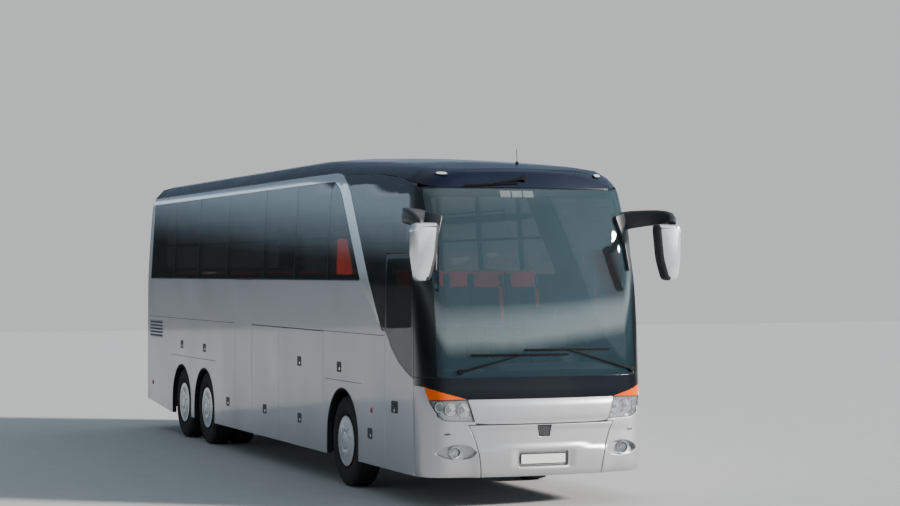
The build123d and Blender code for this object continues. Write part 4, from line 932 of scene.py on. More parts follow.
def window_holes(side):
    """Openings of the fixed side behind the glass."""
    low, high = SILL_Z + FRAME_MARGIN, GLASS_TOP_Z - FRAME_MARGIN
    holes = [[(2.40, low), (3.42, low), (3.42, high - 0.02), (3.14, high - 0.15)]]
    holes += [rect(front, low, rear, high) for front, rear in WINDOWS]
    holes.append(QUARTER_HOLE if side < 0 else DRIVER_HOLE)
    return [rounded(hole, 0.06) for hole in holes]


bands = Shape()
for name, side in SIDES:
    chart = SIDE_CHART[name]
    wall = Shape().panel(chart, lower_side(side), back_mark=1)
    front_part = BEHIND_DOOR if side < 0 else ALONG_SWEEP
    frame_area = FRONT_TOP[:-2] + [BAND_FRONT[1], BAND_FRONT[0], (BODY_REAR, BAND_TOP_Z), (BODY_REAR, SILL_Z)]
    frame_area += [BAND_REAR[1], BAND_REAR[0]] + front_part
    wall.panel(chart, frame_area, window_holes(side), mark=2, **BACKING)
    wall.dress(f"skin_side_{name}", [SILVER, INTERIOR, GLOSS_BLACK], "coach", "body_silver",
               f"side_wall_{name}")
    glass = Shape().panel(chart, rounded(WINDOW_OUTLINE, 0.03), **SHEET)
    first_pane = FRONT_TOP + ([BAND_TIP] if side < 0 else []) + front_part
    glass.panel(chart, rounded(first_pane, 0.012), **SHEET)
    glass.dress(f"glass_side_{name}", [SIDE_GLASS], "coach", "dark_glass", f"side_glass_{name}")
    for flap, front, rear in FLAPS[name]:
        outline = rect(front + GAP / 2, SKIRT_Z, rear - GAP / 2, SEAM_Z - GAP)
        lid = Shape().panel(chart, rounded(outline, 0.01), back_mark=1)
        node = f"luggage_flap_{name}_{flap}"
        lid.dress(f"skin_flap_{name}_{flap}", [SILVER, INTERIOR], f"{node}_lid", "body_silver", node)
    bands.panel(chart, BAND_OUTLINE, thick=0.012, edge=0.006)
bands.dress("skin_bands", [BRIGHT], "coach", "bright_silver", "silver_bands")

# Doors
DOOR_GLASS = rounded([(s, z + 0.012) for s, z in DOOR_SWEEP] + [(0.56, 2.61), (1.34, 2.61)], 0.03)
DOOR_HOLE = [(0.61, 1.43), (0.72, 1.465), (0.94, 1.555), (1.15, 1.685), (1.285, 1.815), (1.285, 2.55),
             (0.61, 2.55)]
front_gap = FRONT_SEAM + GAP
door_split = [(DOOR_REAR, 1.835)] + DOOR_SWEEP[:-1] + [(front_gap, 1.345)]
door = Shape().panel(RIGHT, [(front_gap, SKIRT_Z), (DOOR_REAR, SKIRT_Z)] + door_split, back_mark=1)
door.panel(RIGHT, door_split[::-1] + [(DOOR_REAR, DOOR_TOP), (front_gap, DOOR_TOP)], [DOOR_GLASS], mark=2,
           back_mark=1)
door.panel(RIGHT, DOOR_GLASS, [rounded(DOOR_HOLE, 0.03)], mark=2, **BACKING)
door.dress("skin_front_door", [SILVER, INTERIOR, GLOSS_BLACK], "front_door_leaf", "body_silver", "front_door")
door_pane = Shape().panel(RIGHT, DOOR_GLASS, **SHEET)
door_pane.dress("glass_front_door", [DOOR_PANE], "front_door_leaf", "dark_glass", "front_door_glass")
mid_outline = rect(MID_DOOR[0] + GAP, SKIRT_Z, MID_DOOR[1] - GAP, MID_DOOR[2])
mid_door = Shape().panel(RIGHT, rounded(mid_outline, 0.01), back_mark=1)
mid_door.dress("skin_mid_door", [SILVER, INTERIOR], "mid_door_leaf", "body_silver", "mid_door")

# Roof
HATCHES = [("front", 5.20), ("rear", 9.60)]
HATCH_HALF = 0.38
ROOF_FRONT_Z = 3.36
GUTTER_REAR = 12.76


def roof_outline():
    """The whole edge of the roof: over the windscreen, along both gutters and round the tail."""
    start = BAND_FRONT[0][0]
    gutter = smooth_line([(0.56, 3.375)] + ROOF_EDGE, 5) + [BAND_FRONT[0]]
    gutter += [(start + (GUTTER_REAR - start) * k / 40, BAND_TOP_Z) for k in range(1, 41)]
    points = [NOSE.at(*NOSE.from_y(-1.20 + 2.40 * k / 20, ROOF_FRONT_Z)) for k in range(21)]
    points += [LEFT.at(s, z) for s, z in gutter]
    points += [TAIL.at(*TAIL.from_y(1.185 - 2.37 * k / 30, BAND_TOP_Z)) for k in range(31)]
    points += [RIGHT.at(s, z) for s, z in reversed(gutter)]
    return [ROOF.back(point) for point in points]


def hatch_loop(station, half):
    """The edge of a hatch of that half size."""
    reach = math.atan2(half, TOP_Z - ROOF.axis_z)
    return rounded(rect(station - half, -reach, station + half, reach), 0.06)


roof = Shape()
roof.panel(ROOF, roof_outline(), [hatch_loop(station, HATCH_HALF) for name, station in HATCHES], step=0.1,
           back_mark=1)
roof.dress("skin_roof", [ROOF_PAINT, INTERIOR], "coach", "roof_paint", "roof")
for name, station in HATCHES:
    lid = Shape().panel(ROOF, hatch_loop(station, HATCH_HALF - GAP), step=0.1, edge=0.006, back_mark=1)
    lid.dress(f"skin_hatch_{name}", [ROOF_PAINT, INTERIOR], f"roof_hatch_{name}_lid", "roof_paint",
              f"roof_hatch_{name}")

# Nose, as seen from the front: (y, z)
HEADLAMP = [(0.757, 0.912), (1.045, 0.922), (1.098, 0.937), (1.132, 0.970), (1.224, 1.136), (0.830, 1.145)]
SCOOP_TOP = [(0.735, 0.600), (0.80, 0.655), (0.90, 0.680), (1.02, 0.668), (1.12, 0.625), (1.165, 0.580)]
SCOOP_LOW = [(1.165, 0.580), (1.08, 0.545), (0.98, 0.525), (0.88, 0.522), (0.79, 0.545), (0.735, 0.600)]
FOG_SCOOP = smooth_line(SCOOP_TOP, 4)[:-1] + smooth_line(SCOOP_LOW, 4)[:-1]
INDICATOR = [(0.830, 1.145), (1.224, 1.136), (1.255, 1.274)]
FLAP_SIDE = [(0.680, 0.335), (0.690, 0.45), (0.708, 0.56), (0.738, 0.68), (0.776, 0.79), (0.820, 0.877)]
BUMPER_FLAP = [(-y, z) for y, z in FLAP_SIDE[::-1]] + FLAP_SIDE
GRILLE = [(-0.749, 0.885), (0.749, 0.885), (0.757, 0.912), (0.830, 1.145), (-0.830, 1.145), (-0.757, 0.912)]
PLATE_RECESS = rect(-0.282, 0.438, 0.282, 0.592)
TOW_COVER = [(-0.06, 0.75), (0.06, 0.75), (0.08, 0.868), (-0.08, 0.868)]
WINDSCREEN = [(-1.13, 1.372), (1.13, 1.372), (1.165, 3.35), (-1.165, 3.35)]
WINDSCREEN_HOLE = [(-1.06, 1.44), (1.06, 1.44), (1.09, 3.28), (-1.09, 3.28)]
WS_BOTTOM = 1.372
SIDE_CORNER_Z = 1.287
# Middle of the black line under the lamps and the grille panel
UNDER_LINE = [(1.150, 1.000), (1.132, 0.962), (1.095, 0.930), (1.045, 0.914), (0.900, 0.902), (0.757, 0.894),
              (0.60, 0.8815), (0.30, 0.8805), (0.0, 0.8800)]
UNDER_LINE += [(-y, z) for y, z in UNDER_LINE[-2::-1]]
LAMP_LINE = [(1.145, 0.990), (1.224, 1.136), (0.830, 1.145), (0.757, 0.905)]


def seam_line(low, high, sign, count=14):
    """The raked seam between the nose and one side, upward."""
    points = []
    for k in range(count + 1):
        z = low + (high - low) * k / count
        s = FRONT_SEAM
        if z > DOOR_TOP + GAP:
            s += (PILLAR_TOP[0] - FRONT_SEAM) * (z - DOOR_TOP - GAP) / (PILLAR_TOP[1] - DOOR_TOP - GAP)
        points.append(NOSE.from_station(s, z, sign))
    return points


def side_corners(sign, *heights):
    """Points on the seam between the nose and one side, at the given heights."""
    return [NOSE.from_station(FRONT_SEAM, z, sign) for z in heights]


def bumper_relief(u, z):
    """The bumper swells below a fold that runs between the fog lamps, and curls under at its lower edge."""
    fold = 0.665 - 0.05 * smooth((abs(u) - 0.25) / 0.5)
    swell = 0.016 * smooth((fold + 0.03 - z) / 0.06) * (1 - smooth((abs(u) - 0.70) / 0.12))
    swell *= 1 - smooth((0.36 - abs(u)) / 0.05) * smooth((z - 0.415) / 0.03) * smooth((0.62 - z) / 0.03)
    curl = -0.030 * smooth((0.42 - z) / 0.12) ** 2
    brow = 0.008 * smooth((z - 0.80) / 0.07) * (1 - smooth((abs(u) - 1.0) / 0.3))
    return swell + curl + brow


def grille_relief(u, z):
    """The grille panel bows out between its edges."""
    return 0.010 * smooth((z - 0.89) / 0.09) * smooth((1.14 - z) / 0.07)


PILLAR_END = PILLAR_TOP[1] - 0.01
frame_loop = seam_line(WS_BOTTOM, PILLAR_END, 1) + NOSE.loop(level(ROOF_FRONT_Z, (1.2, 0.6, 0.0, -0.6, -1.2)))
frame_loop += seam_line(WS_BOTTOM, PILLAR_END, -1)[::-1] + NOSE.loop(level(WS_BOTTOM, (-0.6, 0.0, 0.6)))
screen = rounded(NOSE.curved(WINDSCREEN), 0.05)
front = Shape().panel(NOSE, frame_loop, [screen], step=0.1, back_mark=1)
front.panel(NOSE, screen, [rounded(NOSE.curved(WINDSCREEN_HOLE), 0.08)], **BACKING)
front.dress("skin_front_frame", [GLOSS_BLACK, INTERIOR], "coach", "gloss_black", "front_frame")
windscreen = Shape().panel(NOSE, screen, step=0.08, **SHEET)
windscreen.dress("glass_windscreen", [FRONT_GLASS], "coach", "tinted_glass", "windscreen")

bumper, lamps, ambers, front_lines = Shape(), Shape(), Shape(), Shape()
front_lines.strip(NOSE, NOSE.loop(UNDER_LINE), 0.008, 0.004, 0.008, 0.002, step=0.06)
for name, sign in SIDES:
    corner = [(y + GAP, z) for y, z in FLAP_SIDE[:-1]] + [(0.828, 0.885), (0.749, 0.885)] + HEADLAMP[:-1]
    loop = NOSE.loop(corner + INDICATOR[-1:], sign) + side_corners(sign, SIDE_CORNER_Z, SKIRT_Z)
    loop += NOSE.loop(level(SKIRT_Z, (1.2, 1.0)), sign)
    bumper.panel(NOSE, loop, [NOSE.loop(FOG_SCOOP, sign)], step=0.05, back_mark=1, relief=bumper_relief)
    lamps.panel(NOSE, rounded(NOSE.curved(HEADLAMP, sign), 0.02), step=0.05, thick=0.006)
    ambers.panel(NOSE, rounded(NOSE.curved(INDICATOR, sign), 0.01), step=0.05, thick=0.03)
    front_lines.strip(NOSE, NOSE.loop(LAMP_LINE, sign), 0.004, 0.002, 0.006, 0.001, step=0.06)
bumper.dress("skin_bumper", [SILVER, INTERIOR], "coach", "body_silver", "bumper")
recess, tow_cover = rounded(NOSE.curved(PLATE_RECESS), 0.02), NOSE.curved(TOW_COVER)
flap_skin = Shape().panel(NOSE, rounded(NOSE.curved(BUMPER_FLAP), 0.01), [tow_cover, recess], edge=0.006,
                          step=0.035, back_mark=1, relief=bumper_relief)
flap_skin.panel(NOSE, inset_loop(recess, 0.0005), out=-0.036, thick=0.008, edge=0.001, step=0.1)
flap_skin.panel(NOSE, inset_loop(tow_cover, 0.004), out=-0.006, thick=0.012, step=0.1, mark=2)
flap_skin.dress("skin_bumper_flap", [SILVER, INTERIOR, BLACK_PLASTIC], "bumper_flap_body", "body_silver",
                "bumper_flap")
grille = Shape().panel(NOSE, NOSE.curved(GRILLE), step=0.04, back_mark=1, relief=grille_relief)
grille.dress("skin_grille", [SILVER, INTERIOR], "coach", "body_silver", "grille_panel")
black_loop = NOSE.loop(open_dense([(-0.83, 1.145), (0.83, 1.145)], 0.1) + INDICATOR[-1:])
black_loop += side_corners(1, SIDE_CORNER_Z, WS_BOTTOM)
black_loop += NOSE.loop(level(WS_BOTTOM, (1.2, 0.9, 0.6, 0.3, 0.0, -0.3, -0.6, -0.9, -1.2)))
black_loop += side_corners(-1, WS_BOTTOM, SIDE_CORNER_Z) + NOSE.loop(INDICATOR[-1:], -1)
black = Shape().panel(NOSE, black_loop, step=0.08, back_mark=1)
black.dress("skin_black_panel", [GLOSS_BLACK, INTERIOR], "coach", "gloss_black", "black_front_panel")
lamps.dress("headlamp_lenses", [LAMP_CLEAR], "coach", "lamp_clear", "front_lamps")
front_lines.dress("front_lines", [RUBBER], "coach", "black_plastic")
ambers.dress("indicator_lenses", [LAMP_AMBER], "coach", "lamp_amber", "indicators")

# Tail, as seen from behind: (y, z)
LID = (0.90, 0.80, 2.18)
REAR_GLASS = rect(-1.0, 2.48, 1.0, 3.42)
REAR_HOLE = rect(-0.94, 2.54, 0.94, 3.36)
REAR_RECESS = rect(-0.282, 0.483, 0.282, 0.637)
TAIL_LAMP = rect(0.96, 0.90, 1.11, 1.72)
TAIL_YS = (1.1, 0.6, 0.0, -0.6, -1.1)


def tail_seam(sign):
    """The upright seam between the tail and one side."""
    low = bottom_of(BODY_REAR)
    return [TAIL.from_station(BODY_REAR, low + (BAND_TOP_Z - low) * k / 14, sign) for k in range(15)]


half, low, high = LID
lid_hole = rounded(TAIL.curved(rect(-half, low, half, high)), 0.02)
lid_edge = rounded(TAIL.curved(rect(-half + GAP, low + GAP, half - GAP, high - GAP)), 0.02)
tail_outline = tail_seam(1) + TAIL.loop(level(BAND_TOP_Z, TAIL_YS)) + tail_seam(-1)[::-1]
tail_outline += TAIL.loop(level(bottom_of(LENGTH), TAIL_YS[::-1]))
lamp_holes = [rounded(TAIL.curved(TAIL_LAMP, sign), 0.03) for name, sign in SIDES]
rear_glass = rounded(TAIL.curved(REAR_GLASS), 0.03)
rear_recess = rounded(TAIL.curved(REAR_RECESS), 0.02)
louvre_hole = rounded(TAIL.curved(rect(-0.56, 0.96, 0.56, 1.35)), 0.03)
grip_hole = rounded(TAIL.curved(rect(-0.10, 0.840, 0.10, 0.900)), 0.02)
rear = Shape().panel(TAIL, tail_outline, [lid_hole, rear_glass, rear_recess] + lamp_holes, step=0.12,
                     back_mark=1)
rear.panel(TAIL, inset_loop(rear_recess, -0.008), out=-0.060, thick=0.006, edge=0.001, step=0.1)
rear.panel(TAIL, rear_glass, [rounded(TAIL.curved(REAR_HOLE), 0.06)], mark=2, **BACKING)
rear.dress("skin_tail", [SILVER, INTERIOR, GLOSS_BLACK], "coach", "body_silver", "rear_wall")
lid = Shape().panel(TAIL, lid_edge, [louvre_hole, grip_hole], step=0.12, back_mark=1)
lid.dress("skin_engine_lid", [SILVER, INTERIOR], "engine_lid_body", "body_silver", "engine_lid")
rear_pane = Shape().panel(TAIL, rear_glass, **SHEET)
rear_pane.dress("glass_rear", [SIDE_GLASS], "coach", "dark_glass", "rear_glass")
reds = Shape()
for loop in lamp_holes:
    reds.panel(TAIL, inset_loop(loop, 0.003), step=0.06, thick=0.04)
reds.dress("tail_lamp_lenses", [LAMP_RED], "coach", "lamp_red", "tail_lamps")

# Wheels
TYRE_RADIUS = (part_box("tyre_tag_right")[1][2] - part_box("tyre_tag_right")[0][2]) / 2
TYRE_HALF = 0.1475
TYRE_MIDDLE_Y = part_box("tyre_tag_left")[1][1] - TYRE_HALF
TWIN_STEP = 0.337
RIM_RADIUS = 0.285
RIBS = (-0.082, -0.0445, 0.0, 0.0445, 0.082)
GROOVE_HALF = 0.0045
SEGMENTS = 96
NUTS = 10
ROUND = 72


def tyre_profile():
    """Half a tyre's section is drawn and mirrored: (radius, offset from its middle plane)."""
    outer = [(RIM_RADIUS, 0.098), (RIM_RADIUS + 0.012, 0.118), (0.322, 0.134), (0.345, 0.1400),
             (0.350, 0.1432), (0.356, 0.1432), (0.362, 0.1425), (0.40, TYRE_HALF), (0.43, TYRE_HALF - 0.001),
             (0.447, 0.1455), (0.452, 0.1465), (0.458, 0.1455), (0.475, 0.138), (0.495, 0.130),
             (TYRE_RADIUS - 0.011, 0.122), (TYRE_RADIUS - 0.005, 0.112)]
    tread = []
    for place in reversed(RIBS):
        tread += [(TYRE_RADIUS - 0.001 - place ** 2 * 0.3, place + GROOVE_HALF),
                  (TYRE_RADIUS - 0.014, place + GROOVE_HALF * 0.7),
                  (TYRE_RADIUS - 0.014, place - GROOVE_HALF * 0.7),
                  (TYRE_RADIUS - 0.001 - place ** 2 * 0.3, place - GROOVE_HALF)]
    inner = [(radius, -offset) for radius, offset in reversed(outer)]
    return outer + tread + inner


def tread_notch(j, radius, offset):
    """Blocks across the shoulders of the tread."""
    shoulder = radius > TYRE_RADIUS - 0.012 and abs(offset) > 0.083
    return 0.007 if shoulder and j % 3 == 0 else 0.0


# Sections of the rim and its cover: (radius, offset)
FLANGE = [(0.2845, 0.090), (0.2845, 0.1265), (0.292, 0.1340), (0.296, 0.1375), (0.291, 0.1400),
          (0.280, 0.136), (0.262, 0.120), (0.258, 0.03), (0.262, 0.03)]
COVER = [(0.2615, 0.112), (0.288, 0.1385), (0.284, 0.1415), (0.262, 0.1400), (0.218, 0.1445), (0.19, 0.1490),
         (0.15, 0.1530), (0.118, 0.1545), (0.112, 0.1515), (0.106, 0.1515), (0.100, 0.1560), (0.06, 0.1585),
         (0.02, 0.1592), (0.02, 0.150), (0.10, 0.149), (0.19, 0.142), (0.25, 0.11)]
CAP = [(0.0005, 0.1495), (0.026, 0.1495), (0.026, 0.1590), (0.022, 0.1594), (0.0005, 0.1595)]
BARREL = rect(0.258, -0.10, 0.2845, 0.03)
TWIN_BARREL = rect(0.258, -0.03, 0.2845, 0.237)
HUB_DISC = [(0.07, -0.01), (0.258, 0.0), (0.258, 0.03), (0.07, 0.02)]
NUT = [(0.0135, 0.0), (0.0135, 0.0065), (0.011, 0.0085), (0.0005, 0.009), (0.0005, 0.0)]
SLOT = oblong(0.026, 0.0075, 0.007)

for axle, station, lift in AXLES:
    for name, sign in SIDES:
        body = f"{axle}_wheel_{name}"
        middle = world((station, sign * TYRE_MIDDLE_Y, AXLE_Z))
        out = Vector((0, sign, 0))
        tyre = Solid().turned(middle, out, tyre_profile(), SEGMENTS, notch=tread_notch)
        rim = Solid().turned(middle, out, FLANGE, ROUND).turned(middle, out, BARREL, ROUND)
        rim.turned(middle, out, HUB_DISC)
        if axle == "drive":
            inner = middle - out * TWIN_STEP
            tyre.turned(inner, out, tyre_profile(), SEGMENTS, notch=tread_notch)
            rim.turned(inner, out, [(r, -y) for r, y in FLANGE], ROUND).turned(inner, out, TWIN_BARREL, ROUND)
        rim.turned(middle, out, COVER, ROUND, 1).turned(middle, out, CAP, 32, 1)
        for k in range(NUTS):
            angle = 2 * math.pi * (k + 0.5) / NUTS
            aside = Vector((1, 0, 0)) * math.cos(angle) + Vector((0, 0, 1)) * math.sin(angle)
            rim.turned(middle + aside * 0.1675 + out * 0.1495, out, NUT, 6, 1)
            along = out.cross(aside)
            facing = (aside * 0.28 + out).normalized().cross(along)
            thick = math.copysign(0.0022, along.cross(facing).dot(out))
            rim.plate(middle + aside * 0.2345 + out * 0.1385, along, facing, SLOT, thick, 0.0005, 2)
        tyre.dress(f"tread_{axle}_{name}", [TYRE_RUBBER], body, "tyre", f"tyre_{axle}_{name}", sharp=28.0)
        rim.dress(f"rim_cover_{axle}_{name}", [CHASSIS, COVER_SILVER, GLOSS_BLACK], body, "rim",
                  f"rim_{axle}_{name}")

# Mirrors
MIRROR_HOUSE = rounded([(1.236, 2.968), (1.50, 2.97), (1.53, 2.90), (1.526, 2.64), (1.49, 2.40), (1.45, 2.37),
                        (1.33, 2.37), (1.262, 2.60), (1.23, 2.90)], 0.07, 6)
MIRROR_FRONT, MIRROR_REAR = -0.19, -0.05
# station, how far the outline is set in there
SHELL_STEPS = [(MIRROR_FRONT, 0.045), (MIRROR_FRONT + 0.003, 0.030), (MIRROR_FRONT + 0.012, 0.014),
               (MIRROR_FRONT + 0.03, 0.004), (MIRROR_FRONT + 0.05, 0.001), (MIRROR_REAR - 0.034, 0.0)]
BEZEL_STEPS = [(MIRROR_REAR - 0.034, 0.004), (MIRROR_REAR - 0.008, 0.004), (MIRROR_REAR, 0.010),
               (MIRROR_REAR, 0.022), (MIRROR_REAR - 0.011, 0.026)]
PANE_STEPS = [(MIRROR_REAR - 0.0105, 0.028), (MIRROR_REAR - 0.0065, 0.028), (MIRROR_REAR - 0.0060, 0.030)]
# station, y, z of the arm's middle line, half height and half thickness there
MIRROR_ARM = [(0.575, 1.075, 2.995, 0.105, 0.050), (0.460, 1.235, 3.030, 0.097, 0.050),
              (0.360, 1.365, 3.045, 0.088, 0.048), (0.250, 1.445, 3.050, 0.082, 0.045),
              (0.120, 1.478, 3.045, 0.075, 0.042), (0.000, 1.475, 3.030, 0.068, 0.040),
              (-0.080, 1.460, 3.000, 0.060, 0.040), (-0.118, 1.440, 2.965, 0.055, 0.040),
              (-0.125, 1.430, 2.935, 0.050, 0.036)]
ARM_SECTION = 14

houses, arms, mirror_panes = Solid(), Solid(), Solid()
for name, sign in SIDES:
    first = len(houses.faces)
    houses.slices(MIRROR_HOUSE, SHELL_STEPS, lambda y, z, s: (s, sign * y, z))
    # the shell's inner side is black: faces inside the dividing line
    for face in range(first, len(houses.faces)):
        corners = [houses.verts[v] for v in houses.faces[face]]
        y_mid = sum(abs(c[1]) for c in corners) / len(corners)
        z_mid = sum(c[2] for c in corners) / len(corners)
        if len(corners) == 4 and y_mid < 1.315 + (2.97 - z_mid) * 0.12:
            houses.marks[face] = 1
    houses.slices(MIRROR_HOUSE, BEZEL_STEPS, lambda y, z, s: (s, sign * y, z), 1)
    mirror_panes.slices(MIRROR_HOUSE, PANE_STEPS, lambda y, z, s: (s, sign * y, z))
    middles = [world((s, sign * y, z)) for s, y, z, tall, thick in MIRROR_ARM]
    rings = []
    for k, (s, y, z, tall, thick) in enumerate(MIRROR_ARM):
        along = (middles[min(k + 1, len(middles) - 1)] - middles[max(k - 1, 0)]).normalized()
        across = Vector((along.y, -along.x, 0.0)).normalized() if abs(along.z) < 0.9 else Vector((0, sign, 0))
        upward = across.cross(along).normalized()
        ring = []
        for j in range(ARM_SECTION):
            angle = 2 * math.pi * (j + 0.5) / ARM_SECTION
            c, d = (math.copysign(abs(v) ** 0.6, v) for v in (math.cos(angle), math.sin(angle)))
            ring.append(middles[k] + across * c * thick + upward * d * tall)
        rings.append(ring)
    arms.loft(rings)
houses.dress("mirror_shells", [BRIGHT, BLACK_PLASTIC], "coach", "bright_silver", "mirror_housings")
arms.dress("mirror_brackets", [ARM_GREY], "coach", "black_plastic", "mirror_arms", sharp=60.0)
mirror_panes.dress("mirror_faces", [MIRROR_GLASS], "coach", "mirror", "mirror_glasses")

# Wipers in front view: blade, arm and foot
SCREEN_TOP = 3.36
WIPERS = [
    (((-0.20, 1.65), (0.80, 1.65)), ((1.08, 1.43), (0.30, 1.65)), (1.08, 1.43)),
    (((-0.78, 1.60), (0.30, 1.60)), ((-0.90, 1.43), (-0.24, 1.60)), (-0.90, 1.43)),
    (((-0.70, SCREEN_TOP + 0.010), (-0.10, SCREEN_TOP + 0.050)),
     ((-0.03, SCREEN_TOP + 0.095), (-0.38, SCREEN_TOP + 0.035)), (-0.03, SCREEN_TOP + 0.095)),
]


def bar_loop(start, end, half_start, half_end):
    """A tapering bar between two front-view points, as a loop on the nose."""
    (y0, z0), (y1, z1) = start, end
    length = math.hypot(y1 - y0, z1 - z0)
    ny, nz = -(z1 - z0) / length, (y1 - y0) / length
    corners = [(y0 + ny * half_start, z0 + nz * half_start), (y1 + ny * half_end, z1 + nz * half_end),
               (y1 - ny * half_end, z1 - nz * half_end), (y0 - ny * half_start, z0 - nz * half_start)]
    return NOSE.loop(dense(corners, 0.08))


wipers = Shape()
for blade, arm, foot in WIPERS:
    # outline, height over the glass, thickness, edge
    bars = [(bar_loop(*blade, 0.011, 0.011), 0.013, 0.005, 0.002),
            (bar_loop(*blade, 0.005, 0.005), 0.019, 0.006, 0.002),
            (bar_loop(*arm, 0.013, 0.006), 0.026, 0.008, 0.003),
            (NOSE.loop(arc(foot, 0.03, 0, 345, 23)), 0.026, 0.024, 0.005)]
    for loop, out, thick, edge in bars:
        wipers.panel(NOSE, loop, out=out, thick=thick, edge=edge, step=0.2)
wipers.dress("wiper_set", [WIPER_BLACK], "coach", "black_plastic", "wipers")

# Front lamps: bowls behind the clear lenses, and fog lamps in their scoops: y, z, radius
BOWLS = [(0.868, 1.034, 0.064), (1.006, 1.040, 0.058), (1.118, 1.066, 0.045)]
FOG = (0.960, 0.600, 0.050)
AHEAD = (1, 0, 0)


def bowl_sections(r):
    """Sections of a headlamp's bowl, of its black rim and of its bulb: outline, count, material."""
    bowl = [(r, -0.016), (r + 0.006, -0.016), (r + 0.006, -0.030), (0.004, -0.062), (0.004, -0.056),
            (r * 0.55, -0.047), (r * 0.85, -0.033)]
    rim = [(r + 0.005, -0.013), (r + 0.011, -0.017), (r + 0.011, -0.040), (r + 0.005, -0.040)]
    bulb = [(0.0005, -0.056), (0.017, -0.052), (0.017, -0.036), (0.0005, -0.024)]
    return (bowl, 32, 0), (rim, 32, 2), (bulb, 16, 3)


def fog_sections(r):
    """Sections of a fog lamp's bowl, of its ring and of its lens."""
    bowl = [(r, -0.020), (r + 0.004, -0.020), (r + 0.004, -0.045), (0.004, -0.060), (0.004, -0.054),
            (r * 0.7, -0.042)]
    ring = [(r + 0.004, -0.012), (r + 0.011, -0.016), (r + 0.014, -0.050), (r + 0.004, -0.050)]
    cover = [(0.0005, -0.016), (r * 0.6, -0.017), (r + 0.001, -0.021), (r + 0.001, -0.026), (0.0005, -0.023)]
    return (bowl, 32, 3), (ring, 32, 0), (cover, 32, 1)


lamp_bowls, lamp_back, scoops = Solid(), Shape(), Shape()
for name, sign in SIDES:
    outline = rounded(NOSE.curved(HEADLAMP, sign), 0.02)
    lamp_back.panel(NOSE, outline, out=-0.058, thick=0.003, edge=0.001, step=0.08)
    lamp_back.panel(NOSE, outline, [inset_loop(outline, 0.012)], out=-0.0065, thick=0.052, edge=0.001,
                    step=0.3, mark=1)
    scoops.panel(NOSE, inset_loop(NOSE.loop(FOG_SCOOP, sign), -0.02), out=-0.052, thick=0.004, edge=0.001,
                 step=0.06)
    for y, z, radius in BOWLS + [FOG]:
        centre = world(NOSE.at(*NOSE.from_y(sign * y, z)))
        for section, count, mark in (fog_sections if (y, z, radius) == FOG else bowl_sections)(radius):
            lamp_bowls.turned(centre, AHEAD, section, count, mark)
lamp_bowls.dress("lamp_bowls", [REFLECTOR, LAMP_CLEAR, BLACK_PLASTIC, DARK_CHROME], "coach", "lamp_clear",
                 "front_lamps")
lamp_back.dress("lamp_backs", [LAMP_CHROME, GLOSS_BLACK], "coach", "lamp_clear", "front_lamps")
scoops.dress("fog_scoops", [SILVER], "coach", "body_silver")

# Seams of the fixed side panels: lines of (station, z); the last one is on the right only
SHORT_SEAM_Z = 1.215
SIDE_SEAMS = [
    [(2.196, SHORT_SEAM_Z), (3.535, SHORT_SEAM_Z)],
    [(8.563, SHORT_SEAM_Z), (11.245, SHORT_SEAM_Z)],
    [(7.56, SEAM_Z), (BODY_REAR, SEAM_Z)],
    [(1.402, SEAM_Z), (3.58, SEAM_Z)],
]
# Locks: station, z
FIXED_LOCKS = [(10.55, 1.39), (9.21, 1.38), (2.99, 1.37), (1.89, 0.68), (7.92, 0.685)]
FLAP_LOCKS = [(4.56, 1.375), (6.09, 0.695), (4.55, 0.68)]
LOCK_CUP = oblong(0.080, 0.060, 0.016)
LOCK_PADDLE = rounded(rect(0.008, -0.036, 0.044, -0.004), 0.008, 4)
SLATS = (11.80, 12.64, 1.456, 1.711)
SLAT_COUNT = 5
SIDE_LAMP = [(0.0005, -0.002), (0.034, -0.002), (0.034, 0.006), (0.028, 0.011), (0.0005, 0.013)]
RED_LAMP = [(0.0005, -0.002), (0.03, -0.002), (0.03, 0.004), (0.022, 0.008), (0.0005, 0.009)]
# depth below the arch's edge, y beyond the side
LINER = [(-0.001, 0.0025), (0.006, 0.0025), (0.006, -0.056), (-0.001, -0.056)]


def lock_on(solid, chart, s, z, sign):
    """A recessed lock: a dark square cup with a small bright flap in it."""
    place = world(chart.at(s, z))
    cup_place, paddle_place = place - Vector((0, sign * 0.0015, 0)), place - Vector((0, sign * 0.0005, 0))
    solid.plate(cup_place, (-sign, 0, 0), (0, 0, 1), LOCK_CUP, 0.004, 0.001, 1)
    solid.plate(paddle_place, (-sign, 0, 0), (0, 0, 1), LOCK_PADDLE, 0.0055, 0.0015, 0)


